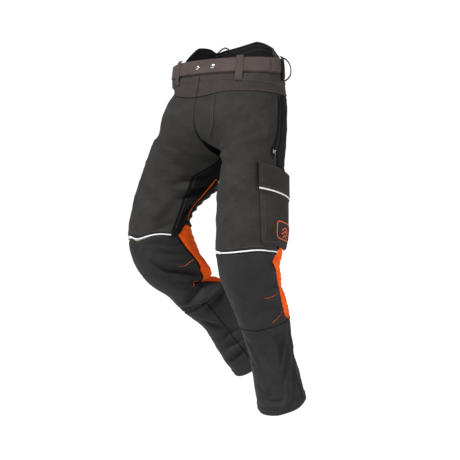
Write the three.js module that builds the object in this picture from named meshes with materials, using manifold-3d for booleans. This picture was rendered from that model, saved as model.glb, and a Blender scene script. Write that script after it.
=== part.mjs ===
// Protective chainsaw trousers on an unseen wearer in mid stride, in millimetres.
// +Z is up, -Y is the wearer's front and +X is the wearer's left. The origin is the
// middle of the waist, at half the height of the belt.
import * as THREE from "three";
import Module from "manifold-3d";

const wasm = await Module();
wasm.setup();

// ---- Driving dimensions ----

// Heights of the garment, measured with both legs straight.
const height = {
  waistTop: 22,
  waistBottom: -25,
  yokeSide: -88,
  yokeFront: -93,
  hipJoint: -190,
  crotch: -262,
  kneePiping: -560,
  knee: -622,
  shinSeam: -778,
  hem: -1058,
};

// Half width, half depth and forward shift of the trunk at named heights.
const trunk = [
  { at: 110, halfWidth: 140, halfDepth: 104, back: 12 },
  { at: 30, halfWidth: 183, halfDepth: 118, back: 4 },
  { at: -35, halfWidth: 189, halfDepth: 134, back: 2 },
  { at: -95, halfWidth: 191, halfDepth: 152, back: 2 },
  { at: -160, halfWidth: 188, halfDepth: 167, back: 4 },
  { at: -262, halfWidth: 189, halfDepth: 177, back: 6 },
];

// The same for one leg, with the distance of its centre from the middle plane.
const limb = [
  { at: -110, halfWidth: 90, halfDepth: 126, out: 96, back: 2 },
  { at: -262, halfWidth: 78, halfDepth: 146, out: 99, back: 4 },
  { at: -330, halfWidth: 80, halfDepth: 142, out: 100, back: 2 },
  { at: -400, halfWidth: 87, halfDepth: 140, out: 98, back: 0 },
  { at: -500, halfWidth: 94, halfDepth: 129, out: 98, back: -2 },
  { at: -600, halfWidth: 92, halfDepth: 105, out: 96, back: 0 },
  { at: -680, halfWidth: 86, halfDepth: 92, out: 96, back: 4 },
  { at: -760, halfWidth: 77, halfDepth: 85, out: 96, back: 6 },
  { at: -860, halfWidth: 70, halfDepth: 66, out: 96, back: 4 },
  { at: -960, halfWidth: 71, halfDepth: 73, out: 96, back: 0 },
  { at: -1058, halfWidth: 72, halfDepth: 78, out: 96, back: -2 },
];
const legsMergeBelow = -100;
const mergePower = 4.5;

// How each leg stands in the stride, in degrees.
const stride = {
  left: { side: 1, hipFlex: 10, hipSpread: 4, hipTurn: 10, kneeFlex: 31, slim: 0, rideUp: 0, fill: 0 },
  right: {
    side: -1, hipFlex: 4, hipSpread: 24.5, hipTurn: 43, kneeFlex: 58, slim: 0.6, rideUp: 60, fill: 88,
  },
};
const hipHalfSpacing = 92;
const hipBend = {
  start: 128, length: 218, frontLead: 0.58, outLead: 0.5, drop: 0.87, centreHold: 90, waistHold: 108,
};
const kneeBend = { above: 88, below: 132, backLead: -0.5, pivotBack: 10, pivotUp: 52 };
const slimming = { at: -462, reach: 135 };
const riding = { at: -540, reach: 130 };
const filling = { at: -632, reach: 62 };

// Widths across a leg, or across half the waist, become shares of these girths.
const legGirth = 600;
const halfWaist = 490;

const cloth = 1.8;
// The gaps left at seams: across as a share of the way round, down in millimetres.
const seamGap = 0.0018;
const rowGap = 1.2;
const layerGap = 0.7;
// How much sooner than the side seam the yoke reaches its full depth.
const yokeCurve = 2.2;
const pack = { near: 6, far: 12, top: -305, bottom: -540, shinTop: -585, shinBottom: -1000 };
const packEdge = { inner: 0.045, outer: 0.455 };
const belt = { low: -21, high: 19, near: 2.4, far: 4.8, from: -176, to: 176 };
const waistband = { near: -0.2, far: 1.8 };
const riser = { near: -3.4, thick: 2.6, foot: -18, least: 26, lean: 0.34, corner: 12 };
// Height of the back panel's top edge by its angle from the back centre to the wearer's left.
const riserEdge = [
  { at: -89, top: 72 },
  { at: -76, top: 80 },
  { at: -55, top: 78 },
  { at: -41, top: 66 },
  { at: -31, top: 72 },
  { at: 22, top: 88 },
  { at: 40, top: 80 },
  { at: 62, top: 60 },
  { at: 92, top: 38 },
];
const hanger = { at: -31, halfSpan: 11, rise: 17, wide: 5, thick: 1.8, sunk: 10, clear: 0.5 };
// Two brown loops at the front, then black ones at the sides and the back.
const brownLoops = 2;
const loopAt = [-31, 40, -101, 101, 180];
const strapMargin = { over: 9, under: 25, clear: 1.4 };
const loopStrap = {
  width: 22, near: belt.far + strapMargin.clear, thick: 1.6, top: belt.high + strapMargin.over,
  bottom: belt.low - strapMargin.under, reach: 6,
};
const toolStrap = {
  at: 116, width: 24, near: 22, thick: 2, top: belt.high + strapMargin.over, bottom: -42, reach: 19,
};
const stud = { radius: 7.6, dome: 3.2, flange: 1.2, fromCentre: [-3, 13], z: -1.5 };
const fly = { width: 46, top: -109, bottom: -220, near: 3.4, thick: 1.5, rounded: 0.28 };
const flyZip = { top: -30, bottom: -195, at: 0.03, near: -8, thick: 1.5, halfWidth: 13 };
const hipZip = { top: -97, bottom: -280, at: 0.472 };
const ventZip = { top: -300, bottom: -505, outer: 0.7, inner: 0.885 };
const zip = { halfWidth: 8, near: 2.2, thick: 1.3 };
// A straight slider on a curved tape stands off it by its own rise over the tightest curve.
const slider = { long: 12, wide: 8.5, thick: 4.5, clear: 0.65, tightest: 40 };
slider.lift = slider.clear + slider.long ** 2 / (8 * slider.tightest);
const pull = { long: 24, wide: 6, thick: 2.4, lap: 4, clear: 0.4 };
const cargo = {
  from: 0.397, to: 0.632, top: -322, bottom: -550, near: 2.4, depth: 11, wall: 1.8, face: 3.2,
  cutBack: 0.03, cutFront: 0.006, cutShare: 0.1,
};
const flap = { top: -311, bottom: -388, near: cargo.depth + 1.2, overhang: 0.008 };
const piping = { thick: 2.4, tall: 5 };
const badge = { from: 0.462, to: 0.575, top: -476, bottom: -531, thick: 1.2, clear: 1.2 };
// The edges of the panel behind the knee, by the share of the way down the knee.
const kneeBackEdge = [
  { at: 0, outer: 0.545, inner: 0.94 },
  { at: 0.16, outer: 0.465, inner: 0.89 },
  { at: 0.5, outer: 0.478, inner: 0.84 },
  { at: 1, outer: 0.55, inner: 0.835 },
];
const hemTurn = { low: 3, height: 28, near: -6.2, far: -4.6 };

const colour = {
  yoke: 0x4a4442, belt: 0x574d4b, leg: 0x3b3a39, knee: 0x2b2b2b, shin: 0x2e2e2e,
  riser: 0x353433, black: 0x161616, piping: 0xdedede, orange: 0xff6510, pocket: 0x383534,
  metal: 0xc9c9c4, pack: 0xd8c9a0,
};

// ---- Small helpers ----

const root = new THREE.Group();
const radians = THREE.MathUtils.degToRad;
const mix = THREE.MathUtils.lerp;
const clamp01 = (t) => THREE.MathUtils.clamp(t, 0, 1);
const ease = (t) => clamp01(t) * clamp01(t) * (3 - 2 * clamp01(t));
const steps = (n) => Array.from({ length: n + 1 }, (_, i) => i / n);

function finish(name, colourOf, roughness = 0.85, metalness = 0) {
  return { name, material: new THREE.MeshStandardMaterial({ color: colourOf, roughness, metalness }) };
}

function add({ name, material }, geometry) {
  const mesh = new THREE.Mesh(geometry, material);
  mesh.name = name;
  root.add(mesh);
  return mesh;
}

// One measure of a list of stations at a height, on a smooth curve through them.
function station(stations, z, key) {
  const list = [...stations].sort((p, q) => p.at - q.at);
  const last = list.length - 1;
  const slope = (i) => {
    const low = list[Math.max(i - 1, 0)];
    const high = list[Math.min(i + 1, last)];
    return (high[key] - low[key]) / (high.at - low.at);
  };
  const found = list.findIndex((s) => s.at > z);
  const i = THREE.MathUtils.clamp(found < 0 ? last - 1 : found - 1, 0, last - 1);
  const span = list[i + 1].at - list[i].at;
  const t = clamp01((z - list[i].at) / span);
  const near = (2 * t ** 3 - 3 * t ** 2 + 1) * list[i][key];
  const far = (3 * t ** 2 - 2 * t ** 3) * list[i + 1][key];
  const leaving = (t ** 3 - 2 * t ** 2 + t) * span * slope(i);
  const arriving = (t ** 3 - t ** 2) * span * slope(i + 1);
  return near + far + leaving + arriving;
}

// A point of the waist, by its angle from the front centre towards the wearer's left.
function onWaist(degrees, z, off) {
  const angle = radians(degrees);
  const x = (station(trunk, z, "halfWidth") + off) * Math.sin(angle);
  const y = station(trunk, z, "back") - (station(trunk, z, "halfDepth") + off) * Math.cos(angle);
  return new THREE.Vector3(x, y, z);
}

// A point of the straight garment. Round runs from 0 at the front centre and inseam
// over the side seam at 0.5 to 1 at the back centre and inseam again.
function onStraight(side, round, z, off) {
  const trunkX = (station(trunk, z, "halfWidth") + off) * Math.sin(Math.PI * round);
  const trunkDepth = station(trunk, z, "halfDepth") + off;
  const trunkY = station(trunk, z, "back") - trunkDepth * Math.cos(Math.PI * round);
  const turn = 2 * Math.PI * round;
  const legX = station(limb, z, "out") - (station(limb, z, "halfWidth") + off) * Math.cos(turn);
  const legY = station(limb, z, "back") - (station(limb, z, "halfDepth") + off) * Math.sin(turn);
  const merge = clamp01((legsMergeBelow - z) / (legsMergeBelow - height.crotch)) ** mergePower;
  return new THREE.Vector3(side * mix(trunkX, legX, merge), mix(trunkY, legY, merge), z);
}

function turnAbout(point, pivot, axis, angle) {
  return point.clone().sub(pivot).applyAxisAngle(axis, angle).add(pivot);
}

function hipOf(leg) {
  return new THREE.Vector3(leg.side * hipHalfSpacing, 0, height.hipJoint);
}

function kneeOf(leg) {
  const out = station(limb, height.knee, "out");
  return new THREE.Vector3(leg.side * out, kneeBend.pivotBack, height.knee + kneeBend.pivotUp);
}

// The whole turn of a thigh: outwards about its length, then forwards, then sideways.
function hipTurnOf(leg) {
  const about = (x, y, z, degrees) =>
    new THREE.Quaternion().setFromAxisAngle(new THREE.Vector3(x, y, z), radians(degrees));
  return about(0, 1, 0, -leg.side * leg.hipSpread)
    .multiply(about(1, 0, 0, -leg.hipFlex))
    .multiply(about(0, 0, 1, leg.side * leg.hipTurn));
}

// Takes a point of the straight garment into the stride. The base is the point of the cloth's
// outer face under it, and says how far each turn has come, so that layers keep their distance.
function intoStride(leg, base, straight) {
  const point = straight.clone();
  const near = ({ at, reach }) => Math.exp(-(((base.z - at) / reach) ** 2));
  const width = station(limb, base.z, "halfWidth");
  const inner = clamp01((station(limb, base.z, "out") + width - Math.abs(base.x)) / (2 * width));
  const shift = new THREE.Vector3(0, 0, leg.rideUp * inner * near(riding));
  if (base.y > 0) {
    const fullness = base.y / station(limb, base.z, "halfDepth");
    shift.y = leg.fill * fullness * near(filling) - base.y * leg.slim * near(slimming);
  }
  point.add(shift);
  const held = base.clone().add(shift);
  const kneeShare = ease(
    (height.knee + kneeBend.above - held.z + kneeBend.backLead * held.y) / (kneeBend.above + kneeBend.below),
  );
  const bent = turnAbout(point, kneeOf(leg), new THREE.Vector3(1, 0, 0), radians(leg.kneeFlex) * kneeShare);
  const drop = (height.hipJoint - held.z) * hipBend.drop;
  const depth = drop + Math.abs(held.x) * hipBend.outLead - hipBend.frontLead * held.y;
  const below = Math.max(0, height.crotch - held.z);
  const clearOfCentre = ease((Math.abs(held.x) + 1.2 * below) / hipBend.centreHold);
  const clearOfWaist = ease((height.waistBottom - rowGap - held.z) / hipBend.waistHold);
  const share = ease((depth + hipBend.start) / hipBend.length) * clearOfCentre * clearOfWaist;
  const turn = new THREE.Quaternion().slerp(hipTurnOf(leg), share);
  return bent.sub(hipOf(leg)).applyQuaternion(turn).add(hipOf(leg));
}

function onLeg(leg, round, z, off) {
  return intoStride(leg, onStraight(leg.side, round, z, 0), onStraight(leg.side, round, z, off));
}

// A closed solid swept through sections. sectionAt(t) gives the section's outline as pairs,
// and place(t, a, b) puts a pair into space. A strip runs down one face and back up the
// other, and its ends are closed row by row, because they are curved.
function swept(count, sectionAt, place, { closed = false, strip = false } = {}) {
  const times = steps(count).slice(0, closed ? -1 : undefined);
  const rings = times.map((t) => sectionAt(t).map(([a, b]) => place(t, a, b)));
  const size = rings[0].length;
  const positions = rings.flat().flatMap((p) => [p.x, p.y, p.z]);
  const index = [];
  const spans = closed ? rings.length : rings.length - 1;
  for (let i = 0; i < spans; i++) {
    const next = (i + 1) % rings.length;
    for (let j = 0; j < size; j++) {
      const k = (j + 1) % size;
      index.push(i * size + j, next * size + k, i * size + k);
      index.push(i * size + j, next * size + j, next * size + k);
    }
  }
  if (strip) {
    const end = (rings.length - 1) * size;
    for (let a = 0; a < size / 2 - 1; a++) {
      const [b, c, d] = [a + 1, size - 2 - a, size - 1 - a];
      index.push(a, b, c, a, c, d);
      index.push(end + a, end + c, end + b, end + a, end + d, end + c);
    }
  } else if (!closed) {
    const capOf = (t, from, wanted) => {
      const flat = sectionAt(t).map(([a, b]) => new THREE.Vector2(a, b));
      const ringTurn = Math.sign(THREE.ShapeUtils.area(flat));
      for (const [a, b, c] of THREE.ShapeUtils.triangulateShape(flat, [])) {
        const turn = Math.sign(THREE.ShapeUtils.area([flat[a], flat[b], flat[c]]));
        const straight = turn * ringTurn * wanted > 0;
        index.push(from + a, from + (straight ? b : c), from + (straight ? c : b));
      }
    };
    capOf(0, 0, 1);
    capOf(1, (rings.length - 1) * size, -1);
  }
  return facingOut(positions, index);
}

function facingOut(positions, index) {
  const at = (i) => new THREE.Vector3().fromArray(positions, 3 * i);
  let volume = 0;
  for (let i = 0; i < index.length; i += 3) {
    volume += at(index[i]).dot(at(index[i + 1]).cross(at(index[i + 2])));
  }
  if (volume < 0) {
    for (let i = 0; i < index.length; i += 3) {
      [index[i + 1], index[i + 2]] = [index[i + 2], index[i + 1]];
    }
  }
  const geometry = new THREE.BufferGeometry();
  geometry.setAttribute("position", new THREE.Float32BufferAttribute(positions, 3));
  geometry.setIndex(index);
  geometry.computeVertexNormals();
  return geometry;
}

// A sheet of cloth on a leg. from, to, top and bottom are numbers or functions: from and to
// of the way down, top and bottom of the way across. near and far are its two faces.
function sheet(leg, { from, to, top, bottom, near, far, across, down }) {
  const value = (size, t) => (typeof size === "function" ? size(t) : size);
  const sectionAt = () => [
    ...steps(down).map((v) => [v, 1]),
    ...steps(down).reverse().map((v) => [v, 0]),
  ];
  const place = (t, v, face) => {
    const round = mix(value(from, v), value(to, v), t);
    const z = mix(value(top, t), value(bottom, t), v);
    return onLeg(leg, round, z, mix(value(near, v), value(far, v), face));
  };
  return swept(across, sectionAt, place, { strip: true });
}

// A band round the waist, with the same section all the way.
function waistBand(section, from, to, count) {
  return swept(count, () => section, (t, off, z) => onWaist(mix(from, to, t), z, off));
}

function rectangle(near, far, low, high) {
  return [[near, low], [far, low], [far, high], [near, high]];
}

function toManifold(geometry) {
  const vertProperties = new Float32Array(geometry.getAttribute("position").array);
  const triVerts = new Uint32Array(geometry.index.array);
  return new wasm.Manifold(new wasm.Mesh({ numProp: 3, vertProperties, triVerts }));
}

function fromManifold(made) {
  const mesh = made.getMesh();
  const geometry = new THREE.BufferGeometry();
  geometry.setAttribute("position", new THREE.Float32BufferAttribute(mesh.vertProperties, 3));
  geometry.setIndex([...mesh.triVerts]);
  geometry.computeVertexNormals();
  return geometry;
}

// The place of a small piece lying on a leg: its Y runs down the leg and its Z points out.
function frameOnLeg(leg, round, z, off) {
  const here = onLeg(leg, round, z, off);
  const down = onLeg(leg, round, z - 1, off).sub(here).normalize();
  const out = onLeg(leg, round, z, off + 1).sub(here);
  out.addScaledVector(down, -out.dot(down)).normalize();
  const across = new THREE.Vector3().crossVectors(down, out);
  return new THREE.Matrix4().makeBasis(across, down, out).setPosition(here);
}

function roundedBlock(wide, long, thick, corner) {
  const shape = new THREE.Shape();
  const x = wide / 2 - corner;
  const y = long / 2 - corner;
  shape.absarc(x, y, corner, 0, Math.PI / 2);
  shape.absarc(-x, y, corner, Math.PI / 2, Math.PI);
  shape.absarc(-x, -y, corner, Math.PI, 1.5 * Math.PI);
  shape.absarc(x, -y, corner, 1.5 * Math.PI, 2 * Math.PI);
  return new THREE.ExtrudeGeometry(shape, { depth: thick, bevelEnabled: false, curveSegments: 3 });
}

// ---- Waist: waistband, yokes, belt, loops, riser ----

function makeWaistband() {
  const section = rectangle(waistband.near, waistband.far, height.waistBottom, height.waistTop);
  add(finish("waistband", colour.belt), waistBand(section, -179.4, 179.4, 48));
}

function makeYoke(leg, word) {
  const lowest = (t) => mix(height.yokeFront, height.yokeSide, ease(t * yokeCurve));
  const geometry = sheet(leg, {
    from: seamGap, to: 1 - seamGap, top: height.waistBottom - rowGap, bottom: lowest,
    near: -cloth + waistband.far, far: waistband.far, across: 20, down: 2,
  });
  add(finish(word + "_yoke", colour.yoke), geometry);
  return lowest;
}

function makeBelt() {
  const section = rectangle(belt.near, belt.far, belt.low, belt.high);
  add(finish("belt", colour.belt, 0.7), waistBand(section, belt.from, belt.to, 48));
}

function makeStuds() {
  stud.fromCentre.forEach((degrees, i) => {
    const out = onWaist(degrees, stud.z, belt.far + layerGap);
    const across = onWaist(degrees + 1, stud.z, belt.far + layerGap).sub(out);
    const up = onWaist(degrees, stud.z + 1, belt.far + layerGap).sub(out);
    const normal = across.cross(up).normalize();
    const profile = [
      [0, 0], [stud.radius, 0], [stud.radius, stud.flange], [stud.radius * 0.8, stud.dome * 0.75],
      [stud.radius * 0.45, stud.dome * 0.95], [0, stud.dome],
    ];
    const geometry = new THREE.LatheGeometry(profile.map(([r, up]) => new THREE.Vector2(r, up)), 16);
    const mesh = add(finish("belt_stud_" + i, colour.metal, 0.25, 1), geometry);
    mesh.quaternion.setFromUnitVectors(new THREE.Vector3(0, 1, 0), normal);
    mesh.position.copy(out);
  });
}

// A loop's strap in section: it stands off the waist and comes down to it at both ends.
function strapSection({ near, thick, top, bottom, reach }) {
  const foot = waistband.far + layerGap;
  const out = near + thick;
  const slope = 3 * thick;
  return [
    [foot, bottom], [foot + thick, bottom], [out, bottom + reach], [out, top - reach], [foot + thick, top],
    [foot, top], [foot, top - slope], [near, top - reach - thick], [near, bottom + reach + thick],
    [foot, bottom + slope],
  ];
}

function addStrap(name, colourOf, strap, degrees) {
  const half = THREE.MathUtils.radToDeg(strap.width / 2 / onWaist(degrees, 0, 0).length());
  add(finish(name, colourOf), waistBand(strapSection(strap), degrees - half, degrees + half, 4));
}

function makeLoops() {
  loopAt.forEach((degrees, i) => {
    addStrap("belt_loop_" + i, i < brownLoops ? colour.belt : colour.black, loopStrap, degrees);
  });
  for (const [word, side] of [["left", 1], ["right", -1]]) {
    addStrap(word + "_tool_strap", colour.black, toolStrap, side * toolStrap.at);
  }
}

// The raised back panel stands inside the waistband and leans in over the kidneys.
function riserTopAt(fromBack) {
  const first = riserEdge[0].at;
  const last = riserEdge.at(-1).at;
  const inside = clamp01(Math.min(fromBack - first, last - fromBack) / riser.corner);
  const full = station(riserEdge, fromBack, "top");
  return mix(riser.least, full, Math.sqrt(1 - (1 - inside) ** 2));
}

function riserOff(z) {
  return riser.near - riser.lean * Math.max(0, z - height.waistTop);
}

function makeRiser() {
  const levels = steps(3);
  const section = [...levels.map((v) => [v, 1]), ...[...levels].reverse().map((v) => [v, 0])];
  const place = (t, v, face) => {
    const fromBack = mix(riserEdge[0].at, riserEdge.at(-1).at, t);
    const z = mix(riser.foot, riserTopAt(fromBack), v);
    return onWaist(180 - fromBack, z, riserOff(z) - (1 - face) * riser.thick);
  };
  add(finish("back_riser", colour.riser), swept(36, () => section, place, { strip: true }));
  const loop = swept(
    12,
    () => rectangle(0, hanger.thick, 0, hanger.wide),
    (t, off, along) => {
      const fromBack = hanger.at + mix(-hanger.halfSpan, hanger.halfSpan, t);
      const lift = Math.sin(Math.PI * t) * hanger.rise;
      const z = riserTopAt(hanger.at) - hanger.sunk + lift + along;
      return onWaist(180 - fromBack, z, riserOff(z) - riser.thick - hanger.clear - hanger.thick + off);
    },
  );
  add(finish("hanger_loop", colour.riser, 0.7), loop);
}

// ---- Zips ----

function makeZipTape(leg, name, tape) {
  const { top, bottom, at, near, thick, halfWidth } = { ...zip, ...tape };
  const half = halfWidth / legGirth;
  const geometry = sheet(leg, {
    from: at - half, to: at + half, top, bottom, near, far: near + thick, across: 2, down: 9,
  });
  add(finish(name, colour.black, 0.6), geometry);
}

function makeSlider(leg, name, at, z, off, withPull = true) {
  const place = frameOnLeg(leg, at, z, off + slider.lift);
  const block = roundedBlock(slider.wide, slider.long, slider.thick, 2).applyMatrix4(place);
  add(finish(name + "_slider", colour.metal, 0.35, 0.9), block);
  if (!withPull) return;
  const tab = roundedBlock(pull.wide, pull.long, pull.thick, 2.4);
  tab.translate(0, (pull.long + slider.long) / 2 - pull.lap, slider.thick + pull.clear);
  add(finish(name + "_pull", colour.black, 0.55), tab.applyMatrix4(place));
}

// ---- Trunk and thighs ----

function makeUpper(leg, word, yokeBottom) {
  const end = height.kneePiping + piping.tall / 2 + rowGap;
  const topFrom = (first) => (t) => yokeBottom(mix(first, first + 0.5, t)) - rowGap;
  for (const [name, from] of [["front_panel", 0], ["back_panel", 0.5]]) {
    add(finish(word + "_" + name, colour.leg), sheet(leg, {
      from: from + seamGap, to: from + 0.5 - seamGap, top: topFrom(from), bottom: end,
      near: -cloth, far: 0, across: 10, down: 18,
    }));
  }
  add(finish(word + "_thigh_pack", colour.pack), sheet(leg, {
    from: packEdge.inner, to: packEdge.outer, top: pack.top, bottom: pack.bottom,
    near: -pack.far, far: -pack.near, across: 8, down: 6,
  }));
  add(finish(word + "_knee_piping", colour.piping, 0.35), sheet(leg, {
    from: seamGap, to: 0.5 - seamGap, top: height.kneePiping + piping.tall / 2,
    bottom: height.kneePiping - piping.tall / 2, near: -cloth, far: piping.thick - 1, across: 10, down: 1,
  }));
  const clear = zip.near + zip.thick;
  makeZipTape(leg, word + "_pocket_zip", hipZip);
  makeSlider(leg, word + "_pocket_zip", hipZip.at, hipZip.bottom + slider.long, clear);
  for (const [place, at] of [["outer", ventZip.outer], ["inner", ventZip.inner]]) {
    makeZipTape(leg, word + "_" + place + "_vent_zip", { ...ventZip, at });
    makeSlider(leg, word + "_" + place + "_vent", at, ventZip.top - 0.7 * slider.long, clear);
  }
}

// ---- Knees and shins ----

function makeLower(leg, word) {
  const outer = (v) => station(kneeBackEdge, v, "outer");
  const inner = (v) => station(kneeBackEdge, v, "inner");
  const knee = {
    top: height.kneePiping - piping.tall / 2 - rowGap, bottom: height.shinSeam + rowGap,
    near: -cloth, far: 0, down: 10,
  };
  add(finish(word + "_knee_panel", colour.knee), sheet(leg, {
    ...knee, from: (v) => inner(v) - 1 + seamGap, to: (v) => outer(v) - seamGap, across: 12,
  }));
  add(finish(word + "_knee_back_panel", colour.orange), sheet(leg, {
    ...knee, from: (v) => outer(v) + seamGap, to: (v) => inner(v) - seamGap, across: 8,
  }));
  add(finish(word + "_shin_pack", colour.pack), sheet(leg, {
    from: packEdge.inner, to: packEdge.outer, top: pack.shinTop, bottom: pack.shinBottom,
    near: -pack.far, far: -pack.near, across: 8, down: 10,
  }));
  for (const [name, from] of [["shin_panel", 0], ["calf_panel", 0.5]]) {
    add(finish(word + "_" + name, colour.shin), sheet(leg, {
      from: from + seamGap, to: from + 0.5 - seamGap, top: height.shinSeam, bottom: height.hem,
      near: -cloth, far: 0, across: 10, down: 6,
    }));
  }
  const hemPlace = (t, v, face) =>
    onLeg(leg, t, height.hem + hemTurn.low + v * hemTurn.height, mix(hemTurn.near, hemTurn.far, face));
  const ring = swept(20, () => rectangle(0, 1, 0, 1), hemPlace, { closed: true });
  add(finish(word + "_hem_facing", colour.shin), ring);
}

// ---- Cargo pocket on the left thigh ----

function makeCargoPocket(leg) {
  // The lower corners are cut off, the back one further than the front one.
  const body = (inset, near, far, top) => {
    const share = inset / legGirth;
    const cut = (v, amount) => share + amount * clamp01((v - 1) / cargo.cutShare + 1);
    return sheet(leg, {
      from: (v) => cargo.from + cut(v, cargo.cutFront), to: (v) => cargo.to - cut(v, cargo.cutBack), top,
      bottom: cargo.bottom + inset, near, far, across: 8, down: 6,
    });
  };
  const outside = toManifold(body(0, cargo.near, cargo.depth, cargo.top));
  const mouth = cargo.top + 2 * cargo.depth;
  const inside = toManifold(body(cargo.wall, cargo.near + cargo.wall, cargo.depth - cargo.face, mouth));
  add(finish("cargo_pocket", colour.pocket), fromManifold(outside.subtract(inside)));
  const flapFar = (v) => mix(cargo.near + cloth, flap.near + cloth, clamp01(v * 9) ** 0.6);
  add(finish("cargo_flap", colour.pocket), sheet(leg, {
    from: cargo.from - flap.overhang, to: cargo.to + flap.overhang, top: flap.top, bottom: flap.bottom,
    near: (v) => flapFar(v) - cloth, far: flapFar, across: 8, down: 8,
  }));
  const pipingTop = flap.bottom - rowGap;
  add(finish("cargo_flap_piping", colour.piping, 0.35), sheet(leg, {
    from: cargo.from - flap.overhang, to: cargo.to + flap.overhang, top: pipingTop,
    bottom: pipingTop - piping.tall, near: flap.near, far: flap.near + piping.thick, across: 8, down: 1,
  }));
  add(finish("cargo_patch", colour.orange), sheet(leg, {
    from: badge.from, to: badge.to, top: badge.top, bottom: badge.bottom,
    near: cargo.depth + badge.clear, far: cargo.depth + badge.clear + badge.thick, across: 5, down: 3,
  }));
}

// ---- Fly ----

function makeFly(leg) {
  const width = fly.width / halfWaist;
  const curve = (v) => width * Math.sqrt(Math.max(0.02, 1 - clamp01((v - 1) / fly.rounded + 1) ** 2));
  add(finish("fly_flap", colour.leg), sheet(leg, {
    from: seamGap, to: (v) => seamGap + curve(v), top: fly.top, bottom: fly.bottom,
    near: fly.near, far: fly.near + fly.thick, across: 4, down: 12,
  }));
  makeZipTape(leg, "fly_zip", flyZip);
  const behind = flyZip.near - slider.thick - 2 * slider.lift;
  makeSlider(leg, "fly_zip", flyZip.at, flyZip.top - slider.long, behind, false);
}

makeWaistband();
for (const word of ["left", "right"]) {
  const leg = stride[word];
  const yokeBottom = makeYoke(leg, word);
  makeUpper(leg, word, yokeBottom);
  makeLower(leg, word);
}
makeBelt();
makeStuds();
makeLoops();
makeRiser();
makeFly(stride.left);
makeCargoPocket(stride.left);

export default root;
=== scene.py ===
"""Looks of a pair of chainsaw protective trousers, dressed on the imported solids."""

import logging
import math
from dataclasses import dataclass, field
from enum import Enum
from typing import Callable, Sequence

import bpy
import numpy as np
from mathutils import Matrix, Vector


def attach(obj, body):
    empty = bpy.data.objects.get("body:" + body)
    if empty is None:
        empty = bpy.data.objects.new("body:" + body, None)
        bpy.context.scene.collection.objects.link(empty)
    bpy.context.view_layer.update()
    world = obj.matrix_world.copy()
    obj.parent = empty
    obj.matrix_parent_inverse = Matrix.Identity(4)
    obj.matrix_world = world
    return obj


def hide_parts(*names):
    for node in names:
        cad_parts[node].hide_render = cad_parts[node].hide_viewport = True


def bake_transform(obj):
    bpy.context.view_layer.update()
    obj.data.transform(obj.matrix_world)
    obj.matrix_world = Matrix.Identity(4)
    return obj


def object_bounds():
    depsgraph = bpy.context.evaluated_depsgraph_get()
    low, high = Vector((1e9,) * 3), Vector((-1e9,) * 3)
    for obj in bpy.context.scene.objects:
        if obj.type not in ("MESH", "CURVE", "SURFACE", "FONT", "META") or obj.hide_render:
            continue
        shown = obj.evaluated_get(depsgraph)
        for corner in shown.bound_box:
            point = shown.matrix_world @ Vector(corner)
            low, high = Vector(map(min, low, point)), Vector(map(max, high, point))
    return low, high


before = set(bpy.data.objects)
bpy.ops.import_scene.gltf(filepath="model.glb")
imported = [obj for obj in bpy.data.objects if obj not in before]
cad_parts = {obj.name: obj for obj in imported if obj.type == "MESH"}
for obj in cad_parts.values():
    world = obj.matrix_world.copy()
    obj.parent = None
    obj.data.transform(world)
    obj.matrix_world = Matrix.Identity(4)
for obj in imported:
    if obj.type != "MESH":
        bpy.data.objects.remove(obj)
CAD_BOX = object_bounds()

LOG = logging.getLogger("trousers")
MM = 0.001
Number = float | Callable[[np.ndarray], np.ndarray]
# Points, and the corner numbers of each face.
Made = tuple[np.ndarray, list[list[int]]]


# ---- colour and nodes


def linear(hex_code: str) -> tuple[float, float, float, float]:
    """Turns an sRGB hex colour into linear light.

    Args:
        hex_code: six hexadecimal digits, with or without a leading hash.

    Returns:
        Linear red, green, blue and an alpha of one.
    """
    digits = hex_code.lstrip("#")
    values = [int(digits[i : i + 2], 16) / 255 for i in (0, 2, 4)]
    lin = [v / 12.92 if v <= 0.04045 else ((v + 0.055) / 1.055) ** 2.4 for v in values]
    return (lin[0], lin[1], lin[2], 1.0)


def add_node(
    tree: bpy.types.NodeTree,
    kind: str,
    settings: dict | None = None,
    values: dict | None = None,
    links: dict | None = None,
) -> bpy.types.Node:
    """Adds one shader node with its settings, its values and its incoming links.

    Args:
        tree: the node tree to add to.
        kind: the node's type name.
        settings: attributes to set on the node.
        values: default values by input name or number.
        links: outgoing sockets to join, by input name or number.

    Returns:
        The new node.
    """
    node = tree.nodes.new(kind)
    for key, value in (settings or {}).items():
        setattr(node, key, value)
    for key, value in (values or {}).items():
        node.inputs[key].default_value = value
    for key, socket in (links or {}).items():
        tree.links.new(socket, node.inputs[key])
    return node


class Weave(Enum):
    """How a cloth's surface is made."""

    PLAIN = "plain"
    TWILL = "twill"
    RIB = "rib"
    KNIT = "knit"


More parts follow.
